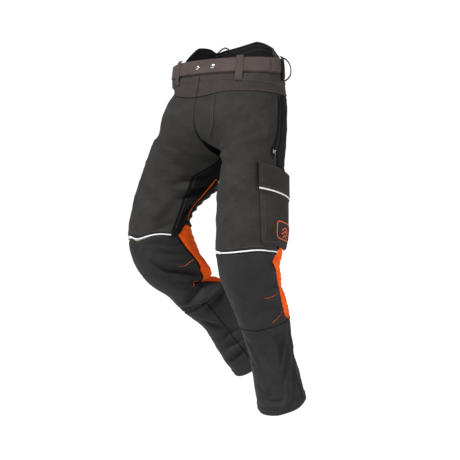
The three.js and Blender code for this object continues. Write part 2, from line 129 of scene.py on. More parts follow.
@dataclass(frozen=True)
class Cloth:
    """A woven or knitted cloth whose pattern follows the cloth's own width and length."""

    name: str
    colour: str
    shade: str
    weave: Weave
    thread_mm: float
    relief_mm: float
    roughness: float = 0.9
    sheen: float = 0.04
    sheen_colour: str = "#9a9a9a"
    patch_mm: float = 55.0
    specular: float = 0.12

    def make(self) -> bpy.types.Material:
        """Builds the material.

        Returns:
            The cloth's material.
        """
        mat = bpy.data.materials.new(self.name)
        mat.use_nodes = True
        tree = mat.node_tree
        tree.nodes.clear()
        out = add_node(tree, "ShaderNodeOutputMaterial")
        uv = add_node(tree, "ShaderNodeUVMap", {"uv_map": "cloth"})
        turned = 45.0 if self.weave is Weave.TWILL else 0.0
        place = add_node(
            tree, "ShaderNodeMapping",
            values={"Rotation": (0, 0, math.radians(turned))},
            links={"Vector": uv.outputs["UV"]},
        )
        # One wave is one thread: the bands' own period is 2 pi over twenty times the scale.
        wave_scale = 2 * math.pi / (20 * self.thread_mm * MM)
        bands = [
            add_node(
                tree, "ShaderNodeTexWave",
                {"wave_type": "BANDS", "bands_direction": axis, "wave_profile": "SIN"},
                {"Scale": wave_scale, "Distortion": 0.6, "Detail": 1.0, "Detail Scale": 1.5},
                {"Vector": place.outputs["Vector"]},
            )
            for axis in ("X", "Y")
        ]
        if self.weave in (Weave.PLAIN, Weave.KNIT):
            height = add_node(
                tree, "ShaderNodeMath",
                {"operation": "MULTIPLY"},
                links={0: bands[0].outputs["Fac"], 1: bands[1].outputs["Fac"]},
            ).outputs[0]
        else:
            height = bands[0].outputs["Fac"]
        slub = add_node(
            tree, "ShaderNodeTexNoise",
            values={"Scale": 1 / (3.5 * self.thread_mm * MM), "Detail": 3.0, "Roughness": 0.65},
            links={"Vector": uv.outputs["UV"]},
        )
        patches = add_node(
            tree, "ShaderNodeTexNoise",
            values={"Scale": 1 / (self.patch_mm * MM), "Detail": 4.0, "Roughness": 0.6},
            links={"Vector": uv.outputs["UV"]},
        )
        blend = add_node(
            tree, "ShaderNodeMath",
            {"operation": "MULTIPLY_ADD"},
            {1: 0.55},
            {0: slub.outputs["Fac"], 2: patches.outputs["Fac"]},
        )
        tone = add_node(
            tree, "ShaderNodeMapRange",
            values={"From Min": 0.5, "From Max": 1.05},
            links={"Value": blend.outputs[0]},
        )
        woven = add_node(
            tree, "ShaderNodeMix",
            {"data_type": "RGBA"},
            {"A": linear(self.shade), "B": linear(self.colour)},
            {"Factor": tone.outputs["Result"]},
        )
        # Painted shade: the colour is darkened in the hollows between the threads and lifted a little on
        # their crowns.
        weave_shade = add_node(
            tree, "ShaderNodeMapRange",
            values={"From Min": 0.0, "From Max": 0.7, "To Min": 0.8, "To Max": 1.06},
            links={"Value": height},
        )
        shaded = add_node(
            tree, "ShaderNodeVectorMath",
            {"operation": "SCALE"},
            links={0: woven.outputs["Result"], "Scale": weave_shade.outputs["Result"]},
        )
        rough = add_node(
            tree, "ShaderNodeMapRange",
            values={"To Min": self.roughness - 0.08, "To Max": min(1.0, self.roughness + 0.06)},
            links={"Value": slub.outputs["Fac"]},
        )
        threads = add_node(
            tree, "ShaderNodeBump",
            values={"Strength": 0.55, "Distance": self.relief_mm * MM},
            links={"Height": height},
        )
        uneven = add_node(
            tree, "ShaderNodeBump",
            values={"Strength": 0.35, "Distance": 2.2 * self.relief_mm * MM},
            links={"Height": slub.outputs["Fac"], "Normal": threads.outputs["Normal"]},
        )
        shader = add_node(
            tree, "ShaderNodeBsdfPrincipled",
            values={
                "Specular IOR Level": self.specular,
                "Sheen Weight": self.sheen,
                "Sheen Roughness": 0.45,
                "Sheen Tint": linear(self.sheen_colour),
            },
            links={
                "Base Color": shaded.outputs["Vector"],
                "Roughness": rough.outputs["Result"],
                "Normal": uneven.outputs["Normal"],
            },
        )
        tree.links.new(shader.outputs["BSDF"], out.inputs["Surface"])
        return mat


@dataclass(frozen=True)
class Solid:
    """A hard or smooth finish: plated metal, moulded plastic, coated tape or thread."""

    name: str
    colour: str
    shade: str
    roughness: float
    metallic: float = 0.0
    grain_mm: float = 1.2
    relief_mm: float = 0.04
    coat: float = 0.0

    def make(self) -> bpy.types.Material:
        """Builds the material.

        Returns:
            The finish's material.
        """
        mat = bpy.data.materials.new(self.name)
        mat.use_nodes = True
        tree = mat.node_tree
        tree.nodes.clear()
        out = add_node(tree, "ShaderNodeOutputMaterial")
        where = add_node(tree, "ShaderNodeTexCoord")
        grain = add_node(
            tree, "ShaderNodeTexNoise",
            values={"Scale": 1 / (self.grain_mm * MM), "Detail": 3.0},
            links={"Vector": where.outputs["Object"]},
        )
        wear = add_node(
            tree, "ShaderNodeMix",
            {"data_type": "RGBA"},
            {"A": linear(self.shade), "B": linear(self.colour)},
            {"Factor": grain.outputs["Fac"]},
        )
        rough = add_node(
            tree, "ShaderNodeMapRange",
            values={"To Min": max(0.05, self.roughness - 0.08), "To Max": self.roughness + 0.1},
            links={"Value": grain.outputs["Fac"]},
        )
        bump = add_node(
            tree, "ShaderNodeBump",
            values={"Strength": 0.4, "Distance": self.relief_mm * MM},
            links={"Height": grain.outputs["Fac"]},
        )
        shader = add_node(
            tree, "ShaderNodeBsdfPrincipled",
            values={"Metallic": self.metallic, "Coat Weight": self.coat},
            links={
                "Base Color": wear.outputs["Result"],
                "Roughness": rough.outputs["Result"],
                "Normal": bump.outputs["Normal"],
            },
        )
        tree.links.new(shader.outputs["BSDF"], out.inputs["Surface"])
        return mat


class Finishes:
    """Every finish of the trousers, each made once and kept.

    Threads are drawn 2 to 4 mm apart, coarser than real ones, so that the weave shows.
    """

    # Plain-woven polyester and cotton over the cut-stop layers: matt charcoal, slightly mottled.
    LEG = Cloth("charcoal_plain_weave", "#3c3b39", "#2e2d2c", Weave.PLAIN, 2.2, 0.35)
    # The darker stretch cloth of the seat and the backs of the thighs drinks the light.
    STRETCH = Cloth("black_stretch_weave", "#1a1a1b", "#121213", Weave.PLAIN, 2.0, 0.3, 0.92, 0.03)
    # Brown-grey stretch cloth of the yoke, a shade warmer and lighter than the legs.
    YOKE = Cloth("brown_grey_stretch_weave", "#45403e", "#383331", Weave.PLAIN, 2.0, 0.3)
    # The belt's cotton blend shows its diagonal twill and a soft brown bloom.
    BELT = Cloth("brown_grey_twill", "#584e4b", "#463d3b", Weave.TWILL, 2.2, 0.4, 0.85, 0.05)
    # The coated cloth of knees and shins is near black with a dull gloss on its folds.
    KNEE = Cloth(
        "black_coated_weave", "#2f2e2f", "#232223", Weave.PLAIN, 2.4, 0.32, 0.74, 0.03, specular=0.2
    )
    # Fine elastic rib knit over foam, dark grey, lit softly along its ribs.
    RISER = Cloth("dark_grey_rib_knit", "#373535", "#2a2929", Weave.RIB, 2.6, 0.5, 0.95, 0.06)
    # Black narrow webbing with ribs across it, for loops, straps and zip tapes.
    WEBBING = Cloth("black_webbing", "#1c1b1c", "#121213", Weave.RIB, 2.0, 0.45, 0.8, 0.03)
    # Dyed orange stretch cloth, saturated and a little satin.
    ORANGE = Cloth(
        "orange_stretch_weave", "#ff6a12", "#f04e04", Weave.TWILL, 2.2, 0.35, 0.8, 0.1, "#ffb070", 30.0
    )
    # The cargo pocket's cloth is the yoke's colour a little darker.
    POCKET = Cloth("brown_grey_pocket_weave", "#3c3836", "#302d2b", Weave.PLAIN, 2.2, 0.35)
    # Open mesh lining in dark grey, seen only inside.
    LINING = Cloth("grey_mesh_lining", "#58585a", "#3c3c3e", Weave.KNIT, 3.2, 0.6, 0.95, 0.1)
    # Cut-stop fibre: pale yellow needled layers, soft and dull.
    FIBRE = Cloth("pale_yellow_fibre", "#ddd0a4", "#c3b483", Weave.KNIT, 4.0, 0.9, 1.0, 0.3)
    # Glass-bead reflective tape: pale grey with a faint satin grain.
    PIPING = Solid("reflective_tape", "#f2f2f0", "#d4d6d6", 0.45, 0.0, 0.8, 0.05)
    # Nickel plate on pressed brass: bright, with the softening of a barrel polish.
    NICKEL = Solid("nickel_plate", "#d9d8d2", "#b9b8b2", 0.22, 1.0, 2.5, 0.02)
    # Moulded acetal pullers: black with a low sheen.
    MOULDED = Solid("black_moulded_acetal", "#1b1b1c", "#121213", 0.42, 0.0, 0.9, 0.05)
    # Nylon coil zip teeth: black, slightly glossy.
    COIL = Solid("black_nylon_coil", "#232325", "#161618", 0.38, 0.0, 0.7, 0.05)
    # Core-spun sewing thread, a tone lighter than the cloth so that rows show.
    THREAD = Solid("dark_grey_thread", "#716a64", "#564f4b", 0.75, 0.0, 0.5, 0.05)
    # The black thread of the knees and shins sinks into the cloth.
    DARK_THREAD = Solid("black_thread", "#2c2c2d", "#1b1b1c", 0.75, 0.0, 0.5, 0.05)
    # Orange embroidery thread, satin stitched.
    ORANGE_THREAD = Solid("orange_thread", "#ef6d28", "#c9561c", 0.6, 0.0, 0.6, 0.06)

    def __init__(self) -> None:
        """Starts with no material made."""
        self._made: dict[str, bpy.types.Material] = {}

    def of(self, finish: Cloth | Solid) -> bpy.types.Material:
        """Gives the material of a finish, made on first use.

        Args:
            finish: the cloth or hard finish.

        Returns:
            Its material.
        """
        if finish.name not in self._made:
            self._made[finish.name] = finish.make()
        return self._made[finish.name]


# ---- the form of the garment


@dataclass(frozen=True)
class Leg:
    """How one leg stands in the stride, in degrees and millimetres."""

    word: str
    side: int
    hip_flex: float
    hip_spread: float
    hip_turn: float
    knee_flex: float
    slim: float
    ride_up: float
    fill: float


LEFT = Leg("left", 1, hip_flex=10, hip_spread=4, hip_turn=10, knee_flex=31, slim=0, ride_up=0, fill=0)
RIGHT = Leg(
    "right", -1, hip_flex=4, hip_spread=24.5, hip_turn=43, knee_flex=58, slim=0.6, ride_up=60, fill=88
)
LEGS = (LEFT, RIGHT)


def ease(t: np.ndarray) -> np.ndarray:
    """Rises smoothly from 0 to 1 as t does."""
    c = np.clip(t, 0, 1)
    return c * c * (3 - 2 * c)


def mix(a: np.ndarray | float, b: np.ndarray | float, t: np.ndarray | float) -> np.ndarray:
    """Goes from a at 0 to b at 1."""
    return a + (b - a) * t


def run_of(steps: np.ndarray) -> np.ndarray:
    """Gives the distance run at each point of a line from the length of its steps."""
    return np.concatenate([[0], np.cumsum(steps)])


def curve_through(table: np.ndarray, at: np.ndarray, column: int) -> np.ndarray:
    """Reads one column of a table of stations on a smooth curve through them.

    Args:
        table: stations by rising first column.
        at: where to read it.
        column: which column.

    Returns:
        The value at each place.
    """
    x, y = table[:, 0], table[:, column]
    last = len(x) - 1
    low, high = np.maximum(np.arange(last + 1) - 1, 0), np.minimum(np.arange(last + 1) + 1, last)
    slope = (y[high] - y[low]) / (x[high] - x[low])
    i = np.clip(np.searchsorted(x, at, side="right") - 1, 0, last - 1)
    span = x[i + 1] - x[i]
    t = np.clip((at - x[i]) / span, 0, 1)
    near = (2 * t**3 - 3 * t**2 + 1) * y[i] + (t**3 - 2 * t**2 + t) * span * slope[i]
    far = (3 * t**2 - 2 * t**3) * y[i + 1] + (t**3 - t**2) * span * slope[i + 1]
    return near + far


def turned(points: np.ndarray, axis: np.ndarray, angle: np.ndarray) -> np.ndarray:
    """Turns each point about an axis through the origin by its own angle.

    Args:
        points: n points.
        axis: one unit vector.
        angle: n angles in radians.

    Returns:
        The turned points.
    """
    c, s = np.cos(angle)[:, None], np.sin(angle)[:, None]
    along = (points @ axis)[:, None] * axis
    return points * c + np.cross(axis, points) * s + along * (1 - c)


@dataclass(frozen=True)
class Fold:
    """A fold of the cloth along a path given as (share round the leg, height in millimetres)."""

    height: float
    width: float
    path: tuple[tuple[float, float], ...]


# Another program placed these folds. Only the last four of each leg were placed one by one.
RIGHT_FOLDS = (
    Fold(-5, 7, ((0.256, -584), (0.104, -602), (1.0, -593), (0.932, -575))),
    Fold(3, 8, ((0.24, -593), (0.076, -608), (0.988, -602), (0.932, -584))),
    Fold(-5, 7, ((0.096, -611), (0.992, -611), (0.928, -593))),
    Fold(3.5, 8, ((0.128, -611), (0.032, -632), (0.956, -623))),
    Fold(-8, 8, ((0.156, -608), (0.076, -632), (0.988, -653), (0.84, -626))),
    Fold(4, 9, ((0.044, -656), (0.932, -671), (0.844, -641))),
    Fold(-9, 9, ((0.84, -665), (0.888, -728), (0.04, -737), (0.136, -743))),
    Fold(6, 9, ((0.964, -764), (0.048, -758), (0.136, -752))),
    Fold(-7, 7, ((0.988, -776), (0.08, -767), (0.188, -761))),
    Fold(-8, 7, ((0.832, -788), (0.944, -794), (0.02, -797))),
    Fold(5, 7, ((0.82, -767), (0.972, -773), (0.04, -767))),
    Fold(-5, 7, ((0.108, -827), (0.08, -851), (0.032, -869))),
    Fold(4, 7, ((0.108, -809), (0.036, -839), (0.984, -863))),
    Fold(-5, 8, ((0.116, -911), (0.016, -905), (0.94, -917))),
    Fold(-5, 7, ((0.136, -941), (0.04, -944), (0.964, -950))),
    Fold(-7, 7, ((0.172, -989), (0.064, -980), (0.984, -980))),
    Fold(3, 8, ((0.16, -965), (0.052, -962), (0.98, -965))),
    Fold(-7, 9, ((0.048, -365), (0.0, -332), (0.964, -305))),
    Fold(5, 9, ((0.028, -380), (0.976, -341), (0.948, -302))),
    Fold(-7, 9, ((0.008, -419), (0.964, -371), (0.912, -335))),
    Fold(4, 8, ((0.98, -455), (0.924, -395), (0.896, -359))),
    Fold(-5, 8, ((0.972, -494), (0.924, -443), (0.884, -407))),
    Fold(-4, 7, ((0.108, -263), (0.068, -251), (0.044, -248))),
    Fold(3, 6, ((0.084, -248), (0.048, -239), (0.024, -236))),
    Fold(-2.5, 6, ((0.072, -239), (0.036, -227), (0.012, -227))),
    Fold(-4, 8, ((0.092, -575), (0.048, -557), (1.0, -527))),
    Fold(3, 12, ((0.108, -548), (0.064, -482), (0.048, -413))),
    Fold(-2.5, 12, ((0.064, -557), (0.04, -503), (0.028, -428))),
    Fold(-2, 10, ((0.156, -386), (0.096, -350), (0.044, -338))),
    Fold(-3, 12, ((0.62, -300), (0.74, -285), (0.86, -262))),
    Fold(-5, 10, ((0.6, -600), (0.72, -590), (0.86, -575))),
    Fold(4, 10, ((0.58, -640), (0.7, -628), (0.84, -610))),
    Fold(-5, 10, ((0.56, -680), (0.68, -665), (0.8, -650))),
)
LEFT_FOLDS = (
    Fold(-2.5, 7, ((0.0, -240), (0.05, -248), (0.212, -284))),
    Fold(2, 8, ((0.01, -256), (0.12, -281), (0.256, -308))),
    Fold(-2, 9, ((0.03, -285), (0.204, -320), (0.304, -320))),
    Fold(2.5, 10, ((0.112, -179), (0.176, -167), (0.212, -146))),
    Fold(-2.5, 9, ((0.12, -167), (0.172, -158), (0.236, -155))),
    Fold(-3, 9, ((0.264, -362), (0.332, -383), (0.38, -404))),
    Fold(2, 10, ((0.24, -377), (0.32, -401), (0.38, -422))),
    Fold(-2.5, 10, ((0.32, -185), (0.372, -218), (0.408, -260))),
    Fold(2.5, 9, ((0.364, -155), (0.392, -203), (0.408, -248))),
    Fold(-3, 8, ((0.348, -689), (0.388, -704), (0.448, -716))),
    Fold(2.5, 7, ((0.344, -659), (0.392, -665), (0.476, -668))),
    Fold(-2.5, 9, ((0.256, -641), (0.268, -674), (0.22, -722))),
    Fold(-4, 6, ((0.444, -794), (0.412, -845), (0.368, -908))),
    Fold(3.5, 5, ((0.456, -830), (0.412, -878), (0.376, -926))),
    Fold(-4, 6, ((0.456, -854), (0.412, -911), (0.372, -968))),
    Fold(3.5, 5, ((0.464, -878), (0.44, -947), (0.42, -998))),
    Fold(-3.5, 5, ((0.48, -923), (0.456, -983), (0.412, -1031))),
    Fold(3, 6, ((0.336, -797), (0.364, -836), (0.36, -887))),
    Fold(-3, 8, ((0.368, -785), (0.392, -824), (0.396, -860))),
    Fold(2.5, 5, ((0.152, -833), (0.188, -881), (0.228, -935))),
    Fold(-2.5, 6, ((0.156, -809), (0.188, -854), (0.212, -905))),
    Fold(2.5, 5, ((0.164, -785), (0.204, -803), (0.26, -821))),
    Fold(-3, 6, ((0.184, -1001), (0.268, -1013), (0.352, -1016))),
    Fold(2.5, 5, ((0.176, -1019), (0.264, -1028), (0.352, -1031))),
    Fold(-3, 6, ((0.196, -962), (0.22, -989), (0.276, -998))),
    Fold(3, 6, ((0.384, -968), (0.376, -1010), (0.32, -1046))),
    Fold(-4, 10, ((0.62, -610), (0.74, -598), (0.88, -612))),
    Fold(4, 11, ((0.6, -645), (0.75, -632), (0.9, -648))),
    Fold(-4, 10, ((0.6, -680), (0.74, -668), (0.86, -684))),
    Fold(-3, 12, ((0.62, -300), (0.74, -285), (0.9, -262))),
)
FOLDS = {"left": LEFT_FOLDS, "right": RIGHT_FOLDS}


@dataclass(frozen=True)
class Quiet:
    """A stretch of a leg where something sewn on top keeps the cloth flat."""

    at: float
    half: float
    top: float
    bottom: float


QUIET = {
    "left": (
        Quiet(0.515, 0.125, -300, -556),
        Quiet(0.472, 0.02, -90, -292),
        Quiet(0.7, 0.02, -292, -512),
        Quiet(0.885, 0.02, -292, -512),
        Quiet(0.06, 0.055, -95, -228),
    ),
    "right": (
        Quiet(0.472, 0.02, -90, -292),
        Quiet(0.7, 0.02, -292, -512),
        Quiet(0.885, 0.02, -292, -512),
    ),
}


@dataclass(frozen=True)
class Cut:
    """The flat size a piece of cloth was cut to, in metres."""

    width: float
    length: float
    area: float | None = None


class Form:
    """The shape of the garment on an unseen wearer: it places any point of the cloth.

    Share 0 is the front centre and the inseam, 0.5 the side seam and 1 the back centre and
    the inseam again. Heights are those of the straight garment, in millimetres.
    """

    # Height, half width, half depth and middle of the trunk, fitted by another program and rounded.
    TRUNK = np.array(
        [
            [-262, 189, 177, 6],
            [-160, 188, 167, 4],
            [-95, 191, 152, 2],
            [-35, 189, 134, 2],
            [30, 183, 118, 4],
            [110, 140, 104, 12],
        ],
        float,
    )
    # The same for a leg, with the distance of its middle from the middle plane before the last.
    LIMB = np.array(
        [
            [-1058, 72, 78, 96, -2],
            [-960, 71, 73, 96, 0],
            [-860, 70, 66, 96, 4],
            [-760, 77, 85, 96, 6],
            [-680, 86, 92, 96, 4],
            [-600, 92, 105, 96, 0],
            [-500, 94, 129, 98, -2],
            [-400, 87, 140, 98, 0],
            [-330, 80, 142, 100, 2],
            [-262, 78, 146, 99, 4],
            [-110, 90, 126, 96, 2],
        ],
        float,
    )
    GIRTH = 600.0
    CROTCH, MERGE_BELOW, MERGE_POWER = -262.0, -100.0, 4.5
    HIP_JOINT, HIP_HALF = -190.0, 92.0
    KNEE, KNEE_UP, KNEE_BACK = -622.0, 52.0, 10.0
    BEND_ABOVE, BEND_BELOW, BEND_LEAD = 88.0, 132.0, -0.5
    HIP_START, HIP_LENGTH, FRONT_LEAD, OUT_LEAD, DROP = 128.0, 218.0, 0.58, 0.5, 0.87
    CENTRE_HOLD, WAIST_HOLD, WAIST_LOW = 90.0, 108.0, -26.2
    SLIM_AT, SLIM_REACH = -462.0, 135.0
    RIDE_AT, RIDE_REACH = -540.0, 130.0
    FILL_AT, FILL_REACH = -632.0, 62.0
    FOLD_GAIN, FOLD_WIDEN = 1.75, 1.3
    BUNCH_HEIGHT, BUNCH_PITCH, BUNCH_SLANT = 5.2, 33.0, 0.42
    # Length, height and number of the slow waves of each kind.
    WAVES = ((170, 1.5, 7), (70, 1.0, 10), (26, 0.32, 14))
    QUIET_EDGE, QUIET_SHARE = 14, 0.92

    def on_waist(self, degrees: np.ndarray, z: np.ndarray, off: np.ndarray) -> np.ndarray:
        """Places points of the waist.

        Args:
            degrees: angle from the front centre towards the wearer's left.
            z: height in millimetres.
            off: distance out from the waist's surface in millimetres.

        Returns:
            n by 3 points in metres.
        """
        degrees, z, off = np.broadcast_arrays(*(np.asarray(v, float) for v in (degrees, z, off)))
        a = np.radians(degrees)
        x = (curve_through(self.TRUNK, z, 1) + off) * np.sin(a)
        y = curve_through(self.TRUNK, z, 3) - (curve_through(self.TRUNK, z, 2) + off) * np.cos(a)
        return np.stack([x, y, z], -1).reshape(-1, 3) * MM

    def straight(self, leg: Leg, share: np.ndarray, z: np.ndarray, off: np.ndarray) -> np.ndarray:
        """Places points of the straight garment.

        Args:
            leg: which leg.
            share: share of the way round.
            z: height in millimetres.
            off: distance out from the cloth's outer face in millimetres.

        Returns:
            The points in millimetres, in the shape of the shares.
        """
        half, full = np.pi * share, 2 * np.pi * share
        trunk_x = (curve_through(self.TRUNK, z, 1) + off) * np.sin(half)
        trunk_y = curve_through(self.TRUNK, z, 3) - (curve_through(self.TRUNK, z, 2) + off) * np.cos(half)
        leg_x = curve_through(self.LIMB, z, 3) - (curve_through(self.LIMB, z, 1) + off) * np.cos(full)
        leg_y = curve_through(self.LIMB, z, 4) - (curve_through(self.LIMB, z, 2) + off) * np.sin(full)
        merge = np.clip((self.MERGE_BELOW - z) / (self.MERGE_BELOW - self.CROTCH), 0, 1) ** self.MERGE_POWER
        return np.stack([leg.side * mix(trunk_x, leg_x, merge), mix(trunk_y, leg_y, merge), z], -1)

    def cut_of(self, share: np.ndarray, z: np.ndarray) -> Cut:
        """Works out the flat cut of a panel from the straight garment, before stride and folds.

        Args:
            share: share of the way round, columns by rows.
            z: height in millimetres, columns by rows.

        Returns:
            The widest width, the longest length and the area, in metres.
        """
        flat = self.straight(LEFT, share, z, 0 * z) * MM
        widths = np.linalg.norm(np.diff(flat, axis=0), axis=2).sum(0)
        lengths = np.linalg.norm(np.diff(flat, axis=1), axis=2).sum(1)
        return Cut(float(widths.max()), float(lengths.max()), float(widths.mean() * lengths.mean()))

    def hip_turn(self, leg: Leg) -> tuple[np.ndarray, float]:
        """Gives the axis and the whole angle of a thigh's turn.

        Args:
            leg: which leg.

        Returns:
            A unit vector and an angle in radians.
        """
        turn = (
            Matrix.Rotation(math.radians(-leg.side * leg.hip_spread), 3, "Y")
            @ Matrix.Rotation(math.radians(-leg.hip_flex), 3, "X")
            @ Matrix.Rotation(math.radians(leg.side * leg.hip_turn), 3, "Z")
        )
        axis, angle = turn.to_quaternion().to_axis_angle()
        return np.array(axis), angle

    def on_leg(self, leg: Leg, share: np.ndarray, z: np.ndarray, off: np.ndarray) -> np.ndarray:
        """Places points of a leg in the stride.

        Args:
            leg: which leg.
            share: share of the way round.
            z: height of the straight garment in millimetres.
            off: distance out from the cloth's outer face in millimetres.

        Returns:
            n by 3 points in metres.
        """
        share, z, off = (
            v.reshape(-1) for v in np.broadcast_arrays(*(np.asarray(v, float) for v in (share, z, off)))
        )
        base = self.straight(leg, share, z, 0 * off)
        point = self.straight(leg, share, z, off)
        width = curve_through(self.LIMB, base[:, 2], 1)
        out = curve_through(self.LIMB, base[:, 2], 3)
        inner = np.clip((out + width - np.abs(base[:, 0])) / (2 * width), 0, 1)
        shift = np.zeros_like(base)
        shift[:, 2] = leg.ride_up * inner * self._swell(base, self.RIDE_AT, self.RIDE_REACH)
        fullness = base[:, 1] / curve_through(self.LIMB, base[:, 2], 2)
        back = leg.fill * fullness * self._swell(base, self.FILL_AT, self.FILL_REACH)
        back -= base[:, 1] * leg.slim * self._swell(base, self.SLIM_AT, self.SLIM_REACH)
        shift[:, 1] = np.where(base[:, 1] > 0, back, 0)
        point, held = point + shift, base + shift
        knee_share = ease(
            (self.KNEE + self.BEND_ABOVE - held[:, 2] + self.BEND_LEAD * held[:, 1])
            / (self.BEND_ABOVE + self.BEND_BELOW)
        )
        knee_out = float(curve_through(self.LIMB, np.array([self.KNEE]), 3)[0])
        pivot = np.array([leg.side * knee_out, self.KNEE_BACK, self.KNEE + self.KNEE_UP])
        point = turned(point - pivot, np.array([1.0, 0, 0]), math.radians(leg.knee_flex) * knee_share) + pivot
        x, y, h = np.abs(held[:, 0]), held[:, 1], held[:, 2]
        depth = (self.HIP_JOINT - h) * self.DROP + x * self.OUT_LEAD - self.FRONT_LEAD * y
        share_of_turn = (
            ease((depth + self.HIP_START) / self.HIP_LENGTH)
            * ease((x + 1.2 * np.maximum(0, self.CROTCH - h)) / self.CENTRE_HOLD)
            * ease((self.WAIST_LOW - h) / self.WAIST_HOLD)
        )
        axis, angle = self.hip_turn(leg)
        hip = np.array([leg.side * self.HIP_HALF, 0, self.HIP_JOINT])
        return (turned(point - hip, axis, angle * share_of_turn) + hip) * MM

    @staticmethod
    def _swell(points: np.ndarray, at: float, reach: float) -> np.ndarray:
        """Gives a share that is 1 at a height and fades over a reach above and below it."""
        return np.exp(-(((points[:, 2] - at) / reach) ** 2))

    def relief(self, leg: Leg, share: np.ndarray, z: np.ndarray) -> np.ndarray:
        """Gives how far the cloth stands out or in at a place, from its folds and slow waves.

        Args:
            leg: which leg.
            share: share of the way round.
            z: height in millimetres.

        Returns:
            The distance in millimetres.
        """
        share, z = np.broadcast_arrays(np.asarray(share, float), np.asarray(z, float))
        shape = share.shape
        u, h = share.reshape(-1) * self.GIRTH, z.reshape(-1)
        rng = np.random.default_rng(11 + leg.side)
        total = np.zeros_like(u)
        for length_mm, height_mm, count in self.WAVES:
            for _ in range(count):
                turns = round(self.GIRTH / length_mm * rng.uniform(-1, 1))
                down = rng.uniform(0.35, 1.2) / length_mm
                wave = 2 * np.pi * (turns * u / self.GIRTH + down * h + rng.uniform())
                total += height_mm / math.sqrt(count) * np.sin(wave)
        for fold in FOLDS[leg.word]:
            total += self._fold_height(fold, u, h)
        calm = np.ones_like(u)
        for q in QUIET[leg.word]:
            edge = self.QUIET_EDGE
            across = ease((q.half * self.GIRTH + edge - np.abs(u - q.at * self.GIRTH)) / edge)
            along = ease((q.top + edge - h) / edge) * ease((h - q.bottom + edge) / edge)
            calm *= 1 - self.QUIET_SHARE * across * along
        waist = ease((-95 - h) / 60)
        settled = total * calm * (0.25 + 0.75 * waist)
        return (settled + self._bunched(leg, u, h)).reshape(shape)

    def _bunched(self, leg: Leg, u: np.ndarray, h: np.ndarray) -> np.ndarray:
        """Gives the diagonal folds that take up the spare cloth behind the thigh that trails.

        Args:
            leg: which leg.
            u: distance round it in millimetres.
            h: height in millimetres.

        Returns:
            Their height at each place.
        """
        if leg is not RIGHT:
            return np.zeros_like(u)
        share = np.mod(u / self.GIRTH, 1)
        window = ease((share - 0.51) / 0.16) * ease((0.868 - share) / 0.1)
        window = window * (0.72 + 0.28 * np.sin(u / 23.0 + h / 37.0))
        window *= ease((-250 - h) / 70) * ease((h + 552) / 50)
        wander = 9 * np.sin(u / 47.0) + 6 * np.sin(h / 61.0)
        wave = 2 * np.pi * (h + self.BUNCH_SLANT * u + wander) / self.BUNCH_PITCH
        return self.BUNCH_HEIGHT * window * np.sin(wave)

    def _fold_height(self, fold: Fold, u: np.ndarray, h: np.ndarray) -> np.ndarray:
        """Gives one fold's height at each place.

        Args:
            fold: the fold.
            u: distance round the leg in millimetres.
            h: height in millimetres.

        Returns:
            The height in millimetres.
        """
        shares = np.array([p[0] for p in fold.path])
        for i in range(1, len(shares)):
            shares[i] += round(shares[i - 1] - shares[i])
        pts = np.stack([shares * self.GIRTH, [p[1] for p in fold.path]], 1)
        total = np.zeros_like(u)
        lengths = np.linalg.norm(np.diff(pts, axis=0), axis=1)
        run = run_of(lengths)
        for lap in (-self.GIRTH, 0, self.GIRTH):
            near = (
                (np.abs(u + lap - pts[:, 0].mean()) < np.ptp(pts[:, 0]) / 2 + 4 * fold.width)
                & (np.abs(h - pts[:, 1].mean()) < np.ptp(pts[:, 1]) + 4 * fold.width)
            )
            if not near.any():
                continue
            q = np.stack([u[near] + lap, h[near]], 1)
            best, along = np.full(len(q), 1e9), np.zeros(len(q))
            for i, length in enumerate(lengths):
                d = (pts[i + 1] - pts[i]) / length
                s = np.clip((q - pts[i]) @ d, 0, length)
                gap = np.linalg.norm(q - pts[i] - s[:, None] * d, axis=1)
                closer = gap < best
                best[closer], along[closer] = gap[closer], ((run[i] + s) / run[-1])[closer]
            taper = np.sin(np.pi * np.clip(0.12 + 0.76 * along, 0, 1)) ** 0.8
            wide = self.FOLD_WIDEN * fold.width * (0.65 + 0.35 * taper)
            total[near] += self.FOLD_GAIN * fold.height * taper * np.exp(-((best / wide) ** 1.7))
        return total


FORM = Form()


# ---- meshes


def declare(obj: bpy.types.Object) -> bpy.types.Object:
    """Hands a piece back as it is; nothing is declared.

    Args:
        obj: the piece.

    Returns:
        The same piece.
    """
    return obj


class Ride(Enum):
    """What a piece moves with."""

    WAIST = "waist"
    HIP = "hip"
    KNEE = "knee"
    SHIN = "shin"
    THIGH = "thigh"
    FLAP = "flap"


def mesh_object(
    name: str,
    verts: np.ndarray,
    faces: Sequence[Sequence[int]],
    material: bpy.types.Material,
    uv: np.ndarray | None = None,
    smooth: bool = True,
) -> bpy.types.Object:
    """Makes a mesh object in metres.

    Args:
        name: the object's name.
        verts: n by 3 points.
        faces: corner numbers of each face.
        material: its only material.
        uv: width and length of the cloth at each point, in metres.
        smooth: whether its faces are shaded smoothly.

    Returns:
        The new object, linked to the scene.
    """
    mesh = bpy.data.meshes.new(name)
    mesh.from_pydata([tuple(v) for v in verts], [], [tuple(f) for f in faces])
    if smooth:
        mesh.shade_smooth()
    layer = mesh.uv_layers.new(name="cloth")
    if uv is not None:
        corners = np.zeros(len(mesh.loops), int)
        mesh.loops.foreach_get("vertex_index", corners)
        layer.data.foreach_set("uv", uv[corners].astype(np.float32).reshape(-1))
    mesh.materials.append(material)
    obj = bpy.data.objects.new(name, mesh)
    bpy.context.scene.collection.objects.link(obj)
    return obj


